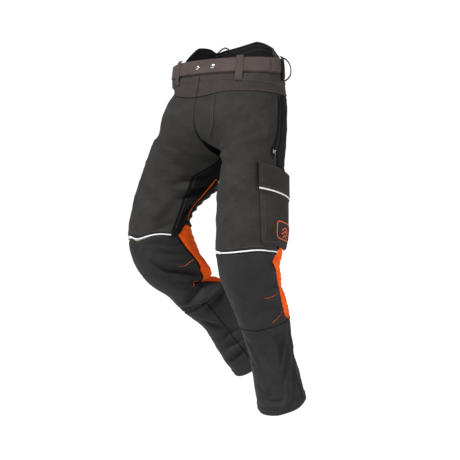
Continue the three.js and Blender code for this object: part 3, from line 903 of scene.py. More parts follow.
def settle(obj: bpy.types.Object, ride: Ride, leg: Leg | None = None) -> bpy.types.Object:
    """Ties a piece to the body it moves with; a piece on the hip or the knee is baked in place and tied to
    nothing.

    Args:
        obj: the finished piece.
        ride: what it moves with.
        leg: which leg, where it is on one.

    Returns:
        The same piece.
    """
    if ride is Ride.WAIST:
        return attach(obj, "waist")
    if ride is Ride.FLAP:
        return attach(obj, "pocket_flap")
    word, side = leg.word, leg.side
    if ride is Ride.THIGH:
        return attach(obj, f"{word}_thigh")
    if ride is Ride.SHIN:
        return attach(obj, f"{word}_shin")
    if ride is Ride.HIP:
        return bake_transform(obj)
    around = np.linspace(0, 1, 25)[:-1]
    above, below = (FORM.on_leg(leg, around, z, -5).mean(0) for z in (-590, -715))
    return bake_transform(obj)


class Shell:
    """A double-faced piece made from two grids of points, closed at its edges."""

    def __init__(self, outer: np.ndarray, inner: np.ndarray, uv: np.ndarray, ring: bool = False) -> None:
        """Takes two grids of equal size.

        Args:
            outer: the outer face, columns by rows by 3.
            inner: the inner face, the same size.
            uv: cloth width and length at each point, in metres.
            ring: whether the last column meets the first.
        """
        self.outer, self.inner, self.uv, self.ring = outer, inner, uv, ring

    def build(self, name: str, material: bpy.types.Material) -> bpy.types.Object:
        """Makes the closed mesh.

        Args:
            name: the object's name.
            material: its material.

        Returns:
            The object.
        """
        cols, rows = self.outer.shape[:2]
        count = cols * rows
        number = np.arange(count).reshape(cols, rows)
        around = np.vstack([number, number[:1]]) if self.ring else number
        a, b = around[:-1, :-1].reshape(-1), around[1:, :-1].reshape(-1)
        c, d = around[1:, 1:].reshape(-1), around[:-1, 1:].reshape(-1)
        faces = [np.stack([a, d, c, b], 1), np.stack([a, b, c, d], 1) + count]
        edges = [around[:, 0], around[::-1, -1]]
        if not self.ring:
            edges += [number[0, ::-1], number[-1, :]]
        for edge in edges:
            p, q = edge[:-1], edge[1:]
            faces.append(np.stack([p, q, q + count, p + count], 1))
        verts = np.concatenate([self.outer.reshape(-1, 3), self.inner.reshape(-1, 3)])
        quads = np.concatenate(faces)
        probe = quads[: (cols - 1) * (rows - 1)]
        tri = verts[probe[:, :3]]
        normal = np.cross(tri[:, 1] - tri[:, 0], tri[:, 2] - tri[:, 0])
        apart = verts[probe[:, 0]] - verts[probe[:, 0] + count]
        if (normal * apart).sum() < 0:
            quads = quads[:, ::-1]
        uv = np.concatenate([self.uv.reshape(-1, 2)] * 2)
        return mesh_object(name, verts, quads, material, uv)


def value_of(size: Number, t: np.ndarray) -> np.ndarray:
    """Reads a size that is a number or a function of a share."""
    return size(t) if callable(size) else np.full_like(t, float(size))


@dataclass
class Panel:
    """A panel of cloth on one leg between two shares round it and two heights."""

    name: str
    leg: Leg
    start: Number
    end: Number
    top: Number
    bottom: Number
    near: Number = -1.8
    far: Number = 0.0
    pitch: float = 4.0
    seams: tuple[bool, bool, bool, bool] = (True, True, True, True)
    extra: Callable[[np.ndarray, np.ndarray], np.ndarray] | None = None
    cut: Cut | None = None

    def grid(self) -> Shell:
        """Works out the two faces of the panel.

        Returns:
            The shell.
        """
        half = np.array([0.5])
        wide = abs(float(value_of(self.end, half)[0] - value_of(self.start, half)[0])) * FORM.GIRTH
        tall = abs(float(value_of(self.top, half)[0] - value_of(self.bottom, half)[0]))
        cols, rows = max(2, round(wide / self.pitch)), max(2, round(tall / self.pitch))
        t, v = np.meshgrid(np.linspace(0, 1, cols + 1), np.linspace(0, 1, rows + 1), indexing="ij")
        share = mix(value_of(self.start, v), value_of(self.end, v), t)
        z = mix(value_of(self.top, t), value_of(self.bottom, t), v)
        self.cut = FORM.cut_of(share, z)
        lift = FORM.relief(self.leg, share, z)
        groove = np.zeros_like(z)
        for used, away in zip(self.seams, (t * wide, (1 - t) * wide, v * tall, (1 - v) * tall)):
            if used:
                groove += self._groove(away, share, z)
        lift = lift + groove
        if self.extra is not None:
            lift = lift + self.extra(share, z)
        faces = [
            FORM.on_leg(self.leg, share, z, value_of(size, v) + lift).reshape(*z.shape, 3)
            for size in (self.far, self.near)
        ]
        uv = np.stack([share * FORM.GIRTH, z], -1) * MM
        return Shell(faces[0], faces[1], uv)

    @staticmethod
    def _groove(away: np.ndarray, share: np.ndarray, z: np.ndarray) -> np.ndarray:
        """Gives the welt, the groove and the pucker beside a seam.

        Args:
            away: distance from the seam in millimetres.
            share: share of the way round.
            z: height in millimetres.

        Returns:
            How far the cloth stands out or in, in millimetres.
        """
        pucker = 0.35 * np.sin((share * FORM.GIRTH + z) / 1.9) * np.exp(-((away / 9) ** 2))
        return 0.8 * np.exp(-(((away - 5) / 3.5) ** 2)) - 1.3 * np.exp(-((away / 2.4) ** 2)) + pucker

    def build(self, material: bpy.types.Material) -> bpy.types.Object:
        """Makes the panel's mesh."""
        return self.grid().build(self.name, material)


@dataclass
class Seam:
    """A line on a leg or round the waist that stitches, piping or teeth follow."""

    points: np.ndarray
    out: np.ndarray

    @staticmethod
    def on_leg(
        leg: Leg,
        shares: Sequence[float],
        heights: Sequence[float],
        off: float,
        smooth: bool = True,
        over: Callable[[np.ndarray, np.ndarray], np.ndarray] | None = None,
    ) -> "Seam":
        """Lays a line on a leg through places given by share and height.

        Args:
            leg: which leg.
            shares: shares round the leg.
            heights: heights in millimetres.
            off: distance off the cloth in millimetres.
            smooth: whether the line curves through the places.
            over: further distance off the cloth by share and height.

        Returns:
            The line.
        """
        shares, heights = np.array(shares, float), np.array(heights, float)
        run = run_of(np.hypot(np.diff(shares) * FORM.GIRTH, np.diff(heights)))
        fine = np.linspace(0, run[-1], max(8, int(run[-1] / 1.5)))
        if smooth and len(run) > 2:
            s = curve_through(np.stack([run, shares], 1), fine, 1)
            z = curve_through(np.stack([run, heights], 1), fine, 1)
        else:
            s, z = np.interp(fine, run, shares), np.interp(fine, run, heights)
        lift = FORM.relief(leg, s, z) + (0 if over is None else over(s, z))
        here = FORM.on_leg(leg, s, z, off + lift)
        above = FORM.on_leg(leg, s, z, off + lift + 1)
        return Seam(here, above - here)

    @staticmethod
    def on_waist(degrees: Sequence[float], heights: Sequence[float], off: float) -> "Seam":
        """Lays a line round the waist through places given by angle and height.

        Args:
            degrees: angles from the front centre.
            heights: heights in millimetres.
            off: distance off the waist's surface in millimetres.

        Returns:
            The line.
        """
        degrees, heights = np.array(degrees, float), np.array(heights, float)
        run = run_of(np.hypot(np.diff(degrees) * 2.7, np.diff(heights)))
        fine = np.linspace(0, run[-1], max(8, int(run[-1] / 1.5)))
        a, z = np.interp(fine, run, degrees), np.interp(fine, run, heights)
        here = FORM.on_waist(a, z, np.array(off))
        return Seam(here, FORM.on_waist(a, z, np.array(off + 1.0)) - here)

    def frames(self) -> tuple[np.ndarray, np.ndarray, np.ndarray]:
        """Gives three unit vectors at each point of the line.

        Returns:
            The vectors along it, out of the cloth and across it.
        """
        along = np.gradient(self.points, axis=0)
        along /= np.linalg.norm(along, axis=1)[:, None] + 1e-12
        out = self.out - (self.out * along).sum(1)[:, None] * along
        out /= np.linalg.norm(out, axis=1)[:, None] + 1e-12
        return along, out, np.cross(along, out)

    def swept(self, section: np.ndarray) -> Made:
        """Sweeps a closed section along the line and caps both ends.

        Args:
            section: pairs (across, out) in millimetres, turning one way.

        Returns:
            Points and faces.
        """
        _, out, across = self.frames()
        size = len(section)
        verts = (
            self.points[:, None]
            + section[None, :, :1] * MM * across[:, None]
            + section[None, :, 1:] * MM * out[:, None]
        ).reshape(-1, 3)
        faces = []
        for i in range(len(self.points) - 1):
            for j in range(size):
                k = (j + 1) % size
                faces.append([i * size + j, i * size + k, (i + 1) * size + k, (i + 1) * size + j])
        last = (len(self.points) - 1) * size
        faces.append(list(range(size))[::-1])
        faces.append([last + j for j in range(size)])
        return verts, faces

    def stitches(self, long: float = 3.0, gap: float = 1.3, wide: float = 0.85) -> Made:
        """Makes a row of stitches along the line.

        Args:
            long: length of one stitch in millimetres.
            gap: cloth seen between two stitches.
            wide: width of the thread, a little over life size so that it shows.

        Returns:
            Points and faces of all the stitches.
        """
        run = run_of(np.linalg.norm(np.diff(self.points, axis=0), axis=1)) / MM
        along, out, across = self.frames()
        count = int(run[-1] / (long + gap))
        if count < 1:
            return np.zeros((0, 3)), []
        starts = np.arange(count) * (long + gap) + 0.5
        rings = []
        for share, girth, rise in ((0.0, 0.35, -0.25), (0.3, 1.0, 0.3), (0.7, 1.0, 0.3), (1.0, 0.35, -0.25)):
            at = starts + share * long
            p, o, c = (
                np.stack([np.interp(at, run, table[:, k]) for k in range(3)], -1)
                for table in (self.points, out, across)
            )
            for a, b in ((-0.5, 0.0), (0.0, 0.45), (0.5, 0.0)):
                rings.append(p + c * a * girth * wide * MM + o * (b * girth * wide + rise) * MM)
        verts = np.stack(rings, 1).reshape(-1, 3)
        one = []
        for i in range(3):
            for j in range(2):
                one.append([i * 3 + j, i * 3 + j + 1, i * 3 + j + 4, i * 3 + j + 3])
        one += [[0, 3, 5, 2], [3, 6, 8, 5], [6, 9, 11, 8], [0, 2, 1], [9, 10, 11]]
        faces = [[k + 12 * n for k in f] for n in range(count) for f in one]
        return verts, faces


class Parts:
    """Gathers small meshes of one finish that move together, and joins them into one piece."""

    def __init__(self, name: str, ride: Ride, leg: Leg | None, material: bpy.types.Material) -> None:
        """Starts an empty gathering.

        Args:
            name: the joined piece's name.
            ride: what it moves with.
            leg: which leg, where it is on one.
            material: its material.
        """
        self.name, self.ride, self.leg, self.material = name, ride, leg, material
        self.verts: list[np.ndarray] = []
        self.faces: list[list[int]] = []
        self.count = 0

    def add(self, made: Made) -> "Parts":
        """Adds points and faces.

        Args:
            made: the points and faces to add.

        Returns:
            The gathering itself.
        """
        verts, faces = made
        self.verts.append(np.asarray(verts))
        self.faces += [[k + self.count for k in f] for f in faces]
        self.count += len(verts)
        return self

    def build(self) -> bpy.types.Object | None:
        """Makes the piece and settles it by what it moves with.

        Returns:
            The piece, or None where nothing was gathered.
        """
        if not self.count:
            return None
        verts = np.concatenate(self.verts)
        obj = mesh_object(self.name, verts, self.faces, self.material, verts[:, [0, 2]])
        LOG.info("%s: %d points", self.name, self.count)
        return settle(obj, self.ride, self.leg)


def round_section(radius_across: float, radius_out: float, count: int = 10, low: float = 0.0) -> np.ndarray:
    """Gives an oval section, its centre a distance low out from the line."""
    a = np.linspace(0, 2 * np.pi, count, endpoint=False)
    return np.stack([radius_across * np.cos(a), low + radius_out * np.sin(a)], 1)


@dataclass
class Block:
    """A small moulded or plated piece: a rounded slab bulging in the middle."""

    wide: float
    long: float
    thick: float
    corner: float = 0.35
    crown: float = 0.25
    sections: int = 28

    def shape(self, place: Matrix) -> Made:
        """Makes the block's points and faces in a place.

        Args:
            place: the block's frame: X across, Y along, Z out, its base at Z zero.

        Returns:
            Points and faces.
        """
        a = np.linspace(0, 2 * np.pi, self.sections, endpoint=False)
        power = 2 / (2 + 4 * (1 - self.corner))
        x = np.sign(np.cos(a)) * np.abs(np.cos(a)) ** power * self.wide / 2
        y = np.sign(np.sin(a)) * np.abs(np.sin(a)) ** power * self.long / 2
        # Height as a share of the thickness, and size as a share of the outline.
        levels = (
            (0.0, 0.9), (0.12, 0.98), (0.5, 1.0), (0.86, 0.96), (1.0, 0.82), (1.0 + 0.6 * self.crown, 0.5),
        )
        rings = [np.stack([x * s, y * s, np.full_like(x, h * self.thick)], 1) for h, s in levels]
        verts = np.concatenate(rings + [[[0, 0, (1 + self.crown) * self.thick * 0.98]], [[0, 0, 0]]])
        n, faces = self.sections, []
        for i in range(len(levels) - 1):
            for j in range(n):
                k = (j + 1) % n
                faces.append([i * n + j, i * n + k, (i + 1) * n + k, (i + 1) * n + j])
        top, foot = len(levels) * n, len(levels) * n + 1
        for j in range(n):
            k = (j + 1) % n
            faces.append([(len(levels) - 1) * n + j, (len(levels) - 1) * n + k, top])
            faces.append([k, j, foot])
        m = np.array(place)
        return verts * MM @ m[:3, :3].T + m[:3, 3], faces


def place_on_leg(leg: Leg, share: float, z: float, off: float) -> Matrix:
    """Gives a small piece's frame on a leg: Y runs down the leg, Z points out.

    Args:
        leg: which leg.
        share: share of the way round.
        z: height in millimetres.
        off: distance off the cloth in millimetres.

    Returns:
        The frame, in metres.
    """
    here, below, above = (
        FORM.on_leg(leg, np.array([share]), np.array([h]), np.array([o]))[0]
        for h, o in ((z, off), (z - 1, off), (z, off + 1))
    )
    down = Vector(below - here).normalized()
    out = Vector(above - here)
    out = (out - out.dot(down) * down).normalized()
    across = down.cross(out)
    m = Matrix((across, down, out)).transposed().to_4x4()
    m.translation = Vector(here)
    return m


def ring_shape(radius: float, wire: float, place: Matrix, oval: float = 1.0, count: int = 28) -> Made:
    """Makes a closed ring of round wire lying in the frame's Y and Z plane.

    Args:
        radius: radius of the ring in millimetres.
        wire: radius of the wire.
        place: its frame.
        oval: length along Y over length along Z.
        count: sections round it.

    Returns:
        Points and faces.
    """
    verts, faces, sides = [], [], 8
    for i in range(count):
        a = 2 * np.pi * i / count
        for j in range(sides):
            b = 2 * np.pi * j / sides
            r = radius + wire * np.cos(b)
            verts.append([wire * np.sin(b), oval * r * np.cos(a), r * np.sin(a)])
    for i in range(count):
        for j in range(sides):
            n, k = (i + 1) % count, (j + 1) % sides
            faces.append([i * sides + j, n * sides + j, n * sides + k, i * sides + k])
    m = np.array(place)
    return np.array(verts) * MM @ m[:3, :3].T + m[:3, 3], faces


# ---- sub-assemblies


@dataclass
class LegShell:
    """The cloth of one leg: trunk panels, knee, shin, calf, hem, piping, packs and lining."""

    leg: Leg
    finishes: Finishes
    knee_line: float = -562.0
    piping_tall: float = 5.0
    gap: float = 1.2
    shin_seam: float = -778.0
    hem: float = -1058.0
    seam_gap: float = 0.0018
    thread: dict[str, Parts] = field(default_factory=dict)

    # The orange panel's edges: share of the way down the knee, and share of the way round.
    OUTER = np.array(
        [[0, 0.52], [0.07, 0.482], [0.16, 0.464], [0.33, 0.503], [0.55, 0.492], [0.9, 0.478], [1, 0.5]]
    )
    INNER = np.array([[0, 0.965], [0.1, 0.925], [0.22, 0.875], [0.4, 0.835], [0.65, 0.795], [1, 0.775]])

    def knee_at(self, share: np.ndarray) -> np.ndarray:
        """Gives the height of the piping line above the knee.

        Args:
            share: share of the way round.

        Returns:
            The height in millimetres.
        """
        share = np.asarray(share, float)
        wrapped = np.where(share > 0.5, share - 1, share)
        if self.leg is LEFT:
            bow, drop = 2 * np.exp(-(((wrapped - 0.28) / 0.1) ** 2)), 4 * ease((wrapped - 0.36) / 0.1)
        else:
            bow, drop = -26 * np.exp(-(((wrapped - 0.145) / 0.1) ** 2)), 14 * ease((wrapped - 0.2) / 0.1)
        return self.knee_line + bow - drop

    def yoke_bottom(self, share: np.ndarray) -> np.ndarray:
        """Gives the height of the yoke's lower edge."""
        return mix(-93, -88, ease(share * 2.2))

    def yoke_seam(self, share: np.ndarray, z: np.ndarray) -> np.ndarray:
        """Gives the step in the cloth at the seam across the yoke."""
        middle = -50 + 8 * np.cos(2 * np.pi * share)
        return 0.9 * np.tanh((z - middle) / 1.6) + 0.5 * np.exp(-(((z - middle - 4) / 3) ** 2))

    def front_low(self, t: np.ndarray) -> np.ndarray:
        """Gives the front panel's lower edge by the share of its width."""
        return self.knee_at(t * 0.5) + self.piping_tall / 2 + self.gap

    def back_low(self, t: np.ndarray) -> np.ndarray:
        """Gives the back panel's lower edge by the share of its width."""
        return self.orange_top(0.5 + t * 0.5) + self.gap

    def orange_top(self, share: np.ndarray) -> np.ndarray:
        """Gives the top edge of the orange panel, which rises above the piping line at the back."""
        rise = ease((share - 0.51) / 0.07) * ease((0.975 - share) / 0.07)
        return self.knee_line + 44 * rise

    def outer_edge(self, v: np.ndarray) -> np.ndarray:
        """Gives the orange panel's outer edge by the share of the way down the knee."""
        return curve_through(self.OUTER, np.asarray(v, float), 1)

    def inner_edge(self, v: np.ndarray) -> np.ndarray:
        """Gives the orange panel's inner edge by the share of the way down the knee."""
        return curve_through(self.INNER, np.asarray(v, float), 1)

    def sewn(self, key: str, ride: Ride, finish: Solid) -> Parts:
        """Gives the gathering of stitches of one finish that move together.

        Args:
            key: the word for the gathering.
            ride: what it moves with.
            finish: its thread.

        Returns:
            The gathering, started on first use.
        """
        if key not in self.thread:
            name = f"{self.leg.word}_{key}_stitching"
            self.thread[key] = Parts(name, ride, self.leg, self.finishes.of(finish))
        return self.thread[key]

    def build(self) -> None:
        """Makes every cloth piece of the leg and its stitching."""
        self.build_upper()
        self.build_knee()
        self.build_shin()
        self.build_inside()
        self.stitch()
        for parts in self.thread.values():
            parts.build()

    def dress(
        self, panel: Panel, finish: Cloth, ride: Ride, node: str | None
    ) -> bpy.types.Object:
        """Args:
            panel: the panel.
            finish: its cloth.
            ride: what it moves with.
            node: the solid it stands for, if any.

        Returns:
            The piece.
        """
        obj = settle(panel.build(self.finishes.of(finish)), ride, self.leg)
        if node:
            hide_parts(node)
        return declare(obj)

    def build_upper(self) -> None:
        """Makes the yoke, the front and back panels and the piping above the knee."""
        w, gap = self.leg.word, self.gap
        yoke = Panel(
            f"{w}_yoke_cloth", self.leg, self.seam_gap, 1 - self.seam_gap, FORM.WAIST_LOW,
            self.yoke_bottom, near=0.0, far=1.4, pitch=3.6,
            seams=(False, False, False, True), extra=self.yoke_seam,
        )
        self.dress(yoke, Finishes.YOKE, Ride.WAIST, f"{w}_yoke")
        halves = (
            ("front", 0.0, self.front_low, Finishes.LEG),
            ("back", 0.5, self.back_low, Finishes.STRETCH),
        )
        for word, first, low, finish in halves:
            panel = Panel(
                f"{w}_{word}_cloth", self.leg, first + self.seam_gap, first + 0.5 - self.seam_gap,
                lambda t, f=first: self.yoke_bottom(f + t / 2) - gap, low,
                seams=(False, word == "front", True, True), pitch=3.7,
            )
            self.dress(panel, finish, Ride.HIP, f"{w}_{word}_panel")
        shares = np.linspace(self.seam_gap, 0.5 - self.seam_gap, 40)
        bead = Seam.on_leg(self.leg, shares, self.knee_at(shares), 0.2)
        parts = Parts(f"{w}_reflective_piping", Ride.HIP, self.leg, self.finishes.of(Finishes.PIPING))
        obj = parts.add(bead.swept(round_section(2.3, 1.9, 12, 0.3))).build()
        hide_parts(f"{w}_knee_piping")

    def build_knee(self) -> None:
        """Makes the knee panel and the orange panel behind it."""
        w = self.leg.word
        low = self.shin_seam + self.gap
        front = Panel(
            f"{w}_knee_cloth", self.leg, lambda v: self.inner_edge(v) - 1 + self.seam_gap,
            lambda v: self.outer_edge(v) - self.seam_gap,
            lambda t: self.knee_at(mix(-0.03, 0.51, t)) - self.piping_tall / 2 - self.gap, low, pitch=3.4,
        )
        self.dress(front, Finishes.KNEE, Ride.KNEE, f"{w}_knee_panel")
        back = Panel(
            f"{w}_orange_cloth", self.leg, lambda v: self.outer_edge(v) + self.seam_gap,
            lambda v: self.inner_edge(v) - self.seam_gap,
            lambda t: self.orange_top(mix(0.52, 0.965, t)), low, pitch=3.4, extra=self.gathers,
        )
        self.dress(back, Finishes.ORANGE, Ride.KNEE, f"{w}_knee_back_panel")

    def gathers(self, share: np.ndarray, z: np.ndarray) -> np.ndarray:
        """Gives the fine elastic gathers of the orange stretch panel."""
        depth = 1.1 if self.leg is RIGHT else 0.6
        return depth * np.sin(2 * np.pi * (z + 18 * np.sin(7 * share)) / 17.0)

    def build_shin(self) -> None:
        """Makes the shin and calf panels and the turned hem."""
        w = self.leg.word
        for word, first in (("shin", 0.0), ("calf", 0.5)):
            panel = Panel(
                f"{w}_{word}_cloth", self.leg, first + self.seam_gap, first + 0.5 - self.seam_gap,
                self.shin_seam, self.hem, pitch=3.7, extra=self.hem_shape,
            )
            self.dress(panel, Finishes.KNEE, Ride.SHIN, f"{w}_{word}_panel")
        t, v = np.meshgrid(np.linspace(0, 1, 121)[:-1], np.linspace(0, 1, 9), indexing="ij")
        z = self.hem + 2 + 28 * v
        lift = FORM.relief(self.leg, t, z)
        faces = [
            FORM.on_leg(self.leg, t, z, lift + off).reshape(*t.shape, 3) for off in (-3.2, -4.6)
        ]
        shell = Shell(faces[0], faces[1], np.stack([t * FORM.GIRTH, z], -1) * MM, ring=True)
        obj = settle(shell.build(f"{w}_hem_turning", self.finishes.of(Finishes.KNEE)), Ride.SHIN, self.leg)
        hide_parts(f"{w}_hem_facing")
        declare(obj)

    def hem_shape(self, share: np.ndarray, z: np.ndarray) -> np.ndarray:
        """Gives the turned hem's thickness and the groove of its stitching."""
        up = z - self.hem
        groove, fold = np.exp(-(((up - 26) / 2) ** 2)), np.exp(-((up / 2.5) ** 2))
        return 1.3 * ease((30 - up) / 5) - 1.1 * groove - 1.5 * fold

    def quilting(self, share: np.ndarray, z: np.ndarray) -> np.ndarray:
        """Gives the pillows between the lines that hold a pack's layers together."""
        return 0.8 * np.cos(2 * np.pi * share * 12) * np.cos(2 * np.pi * z / 50)

    def build_inside(self) -> None:
        """Makes the cut-stop packs and the mesh lining behind them."""
        w = self.leg.word
        packs = (("thigh", -306, -539, Ride.HIP), ("shin", -586, -998, Ride.KNEE))
        for word, high, low, ride in packs:
            pack = Panel(
                f"{w}_{word}_fibre_mat", self.leg, 0.047, 0.453, high, low, near=-11.2, far=-7.4,
                pitch=7.0, seams=(False,) * 4, extra=self.quilting,
            )
            self.dress(pack, Finishes.FIBRE, ride, f"{w}_{word}_pack")
        upper = Panel(
            f"{w}_upper_lining", self.leg, 0.0005, 0.9995, -24, -575,
            near=lambda v: mix(-8.2, -16, ease(v * 6)),
            far=lambda v: mix(-7.4, -15, ease(v * 6)), pitch=7.0, seams=(False,) * 4,
        )
        self.dress(upper, Finishes.LINING, Ride.HIP, None)
        lower = Panel(
            f"{w}_lower_lining", self.leg, 0.0005, 0.9995, -576, -1040, near=-16, far=-15, pitch=7.0,
            seams=(False,) * 4,
        )
        self.dress(lower, Finishes.LINING, Ride.KNEE, None)

    def stitch(self) -> None:
        """Sews the rows of topstitching along the seams."""
        leg = self.leg
        rows = np.linspace(0.01, 0.99, 60)
        waist = self.sewn("yoke", Ride.WAIST, Finishes.THREAD)
        waist.add(Seam.on_leg(leg, rows, self.yoke_bottom(rows) + 4.5, 1.9).stitches())
        waist.add(Seam.on_leg(leg, rows, -47 + 8 * np.cos(2 * np.pi * rows), 2.7).stitches())
        hip = self.sewn("thigh", Ride.HIP, Finishes.THREAD)
        side_z = np.linspace(-292, -550, 20)
        if leg is RIGHT:
            hip.add(Seam.on_leg(leg, np.full(20, 0.49), side_z, 0.5).stitches())
        front = np.linspace(0.01, 0.49, 40)
        hip.add(Seam.on_leg(leg, front, self.knee_at(front) + 8.5, 0.5).stitches())
        crotch = np.linspace(-268, -548, 20)
        hip.add(Seam.on_leg(leg, np.full(20, 0.988), crotch, 0.5).stitches())
        shin = self.sewn("shin", Ride.SHIN, Finishes.DARK_THREAD)
        around = np.linspace(0.005, 0.995, 70)
        for up in (25, 21):
            shin.add(Seam.on_leg(leg, around, np.full(70, self.hem + up), 1.6).stitches())
        for share in (0.51, 0.49):
            z = np.linspace(self.shin_seam - 8, self.hem + 32, 20)
            shin.add(Seam.on_leg(leg, np.full(20, share), z, 0.6).stitches())
        shin.add(Seam.on_leg(leg, around, np.full(70, self.shin_seam - 5), 0.8).stitches())
        knee = self.sewn("knee", Ride.KNEE, Finishes.DARK_THREAD)
        down = np.linspace(0.06, 0.97, 24)
        z = mix(self.knee_line - 4, self.shin_seam, down)
        knee.add(Seam.on_leg(leg, self.outer_edge(down) - 0.009, z, 0.6).stitches())
        knee.add(Seam.on_leg(leg, self.inner_edge(down) - 1 + 0.009, z, 0.6).stitches())
        dart = self.sewn("knee_dart", Ride.KNEE, Finishes.ORANGE_THREAD)
        if leg is LEFT:
            darts = (
                ((0.366, 0.385, 0.408, 0.43, 0.458), (-680, -683, -684, -684, -680)),
                ((0.38, 0.395, 0.416, 0.436, 0.46), (-764, -760, -755, -750, -741)),
            )
        else:
            darts = (
                ((0.952, 0.942, 0.93, 0.915, 0.893), (-636, -632, -625, -614, -603)),
                ((0.945, 0.92, 0.9, 0.875, 0.85), (-716, -706, -694, -678, -658)),
            )
        for shares, heights in darts:
            line = Seam.on_leg(leg, shares, heights, 0.7)
            dart.add(line.stitches(3.4, 0.5, 2.6))


@dataclass
class Zip:
    """A zip on a leg: tape, coil, slider and puller, with a strip of lining beside it."""

    leg: Leg
    key: str
    tape_node: str
    slider_node: str
    pull_node: str
    body: str
    at: float
    top: float
    bottom: float
    slider_z: float
    finishes: Finishes
    near: float = 2.2
    orange: bool = False

    def build(self) -> None:
        """Makes the zip; of its pieces only the slider and the puller are tied to a body, the runner."""
        f, leg = self.finishes, self.leg
        half = 8 / FORM.GIRTH
        tape = Panel(
            self.tape_node + "_tape", leg, self.at - half, self.at + half, self.top, self.bottom,
            near=self.near - 0.6, far=self.near + 0.3, pitch=2.6, seams=(False,) * 4,
            extra=lambda share, z: 0.5 * np.cos((share - self.at) / half * np.pi * 1.5),
        )
        obj = settle(tape.build(f.of(Finishes.WEBBING)), Ride.HIP, leg)
        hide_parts(self.tape_node)
        declare(obj)
        coil = Parts(self.tape_node + "_coil", Ride.HIP, leg, f.of(Finishes.COIL))
        heights = np.linspace(self.top - 3, self.bottom + 3, 30)
        for side in (-1, 1):
            line = Seam.on_leg(leg, np.full(30, self.at + side * 1.5 / FORM.GIRTH), heights, self.near + 0.9)
            coil.add(line.stitches(1.7, 0.5, 2.6))
        coil.build()
        if self.orange:
            # The strip is 11 mm wide, and its inner side runs under the tape.
            hidden = 7 if self.key == "inner" else 2
            strip = Panel(
                self.tape_node + "_vent_lining", leg, self.at + half - hidden / FORM.GIRTH,
                self.at + half + (11 - hidden) / FORM.GIRTH,
                self.top - 4, self.bottom + 4, near=0.9, far=1.8, pitch=2.6, seams=(False,) * 4,
            )
            obj = settle(strip.build(f.of(Finishes.ORANGE)), Ride.HIP, leg)
            declare(obj)
        self.build_slider()

    def build_slider(self) -> None:
        """Makes the plated slider with its bridge, and the moulded puller on its link."""
        f = self.finishes
        lift = float(FORM.relief(self.leg, np.array([self.at]), np.array([self.slider_z]))[0])
        place = place_on_leg(self.leg, self.at, self.slider_z, self.near + 1.6 + lift)
        metal = Parts(self.slider_node + "_plated", Ride.THIGH, self.leg, f.of(Finishes.NICKEL))
        metal.add(Block(8.5, 12, 2.6, 0.55, 0.3).shape(place))
        metal.add(ring_shape(2.6, 0.6, place @ Matrix.Translation((0, -0.5 * MM, 2.2 * MM)), 1.5))
        self._ride(metal, self.slider_node)
        black = Parts(self.pull_node + "_moulded", Ride.THIGH, self.leg, f.of(Finishes.MOULDED))
        tilt = place @ Matrix.Translation((0, 4 * MM, 3.6 * MM)) @ Matrix.Rotation(math.radians(9), 4, "X")
        link = tilt @ Matrix.Translation((0, 1.5 * MM, 1.2 * MM)) @ Matrix.Rotation(math.pi / 2, 4, "Y")
        black.add(ring_shape(3.4, 0.75, link, 1.3))
        black.add(Block(6.4, 17, 2.4, 0.4, 0.25).shape(tilt @ Matrix.Translation((0, 13.5 * MM, 0))))
        for k in range(4):
            bar = tilt @ Matrix.Translation((0, (9 + 3 * k) * MM, 2.5 * MM))
            black.add(Block(5, 1.3, 0.8, 0.4, 0.2, 12).shape(bar))
        self._ride(black, self.pull_node)

    def _ride(self, parts: Parts, node: str) -> None:
        """Builds a gathering, ties it to the zip's runner and stands it for its solid.

        Args:
            parts: the gathering.
            node: the solid it stands for.
        """
        verts = np.concatenate(parts.verts)
        obj = mesh_object(parts.name, verts, parts.faces, parts.material, verts[:, [0, 2]])
        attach(obj, self.body)
        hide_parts(node)
        LOG.info("%s: %d points", parts.name, parts.count)


@dataclass
class WaistBand:
    """A band round the waist with rounded edges and lines of stitching pressed into it."""

    name: str
    start: float
    end: float
    low: float
    high: float
    near: float
    far: float
    edge: float = 1.2
    pressed: tuple[float, ...] = ()
    ring: bool = False
    pitch: float = 2.2
    bulge: Callable[[np.ndarray, np.ndarray], np.ndarray] | None = None

    def build(self, material: bpy.types.Material) -> bpy.types.Object:
        """Makes the band's mesh.

        Args:
            material: its cloth.

        Returns:
            The object.
        """
        cols = max(6, round(abs(self.end - self.start) * 2.8 / (1.6 * self.pitch)))
        rows = max(6, round((self.high - self.low) / self.pitch))
        degrees = np.linspace(self.start, self.end, cols + 1)[: -1 if self.ring else None]
        a, z = np.meshgrid(degrees, np.linspace(self.high, self.low, rows + 1), indexing="ij")
        from_edge = np.minimum(z - self.low, self.high - z)
        rolled = self.edge * np.exp(-((from_edge / (1.2 * self.edge)) ** 2))
        lift = -rolled
        for line in self.pressed:
            lift = lift - 0.45 * np.exp(-(((z - line) / 1.1) ** 2))
        if self.bulge is not None:
            lift = lift + self.bulge(a, z)
        shape = (*a.shape, 3)
        outer = FORM.on_waist(a, z, self.far + lift).reshape(shape)
        inner = FORM.on_waist(a, z, self.near + 0 * lift).reshape(shape)
        uv = np.stack([a * 2.9, z], -1) * MM
        return Shell(outer, inner, uv, self.ring).build(self.name, material)


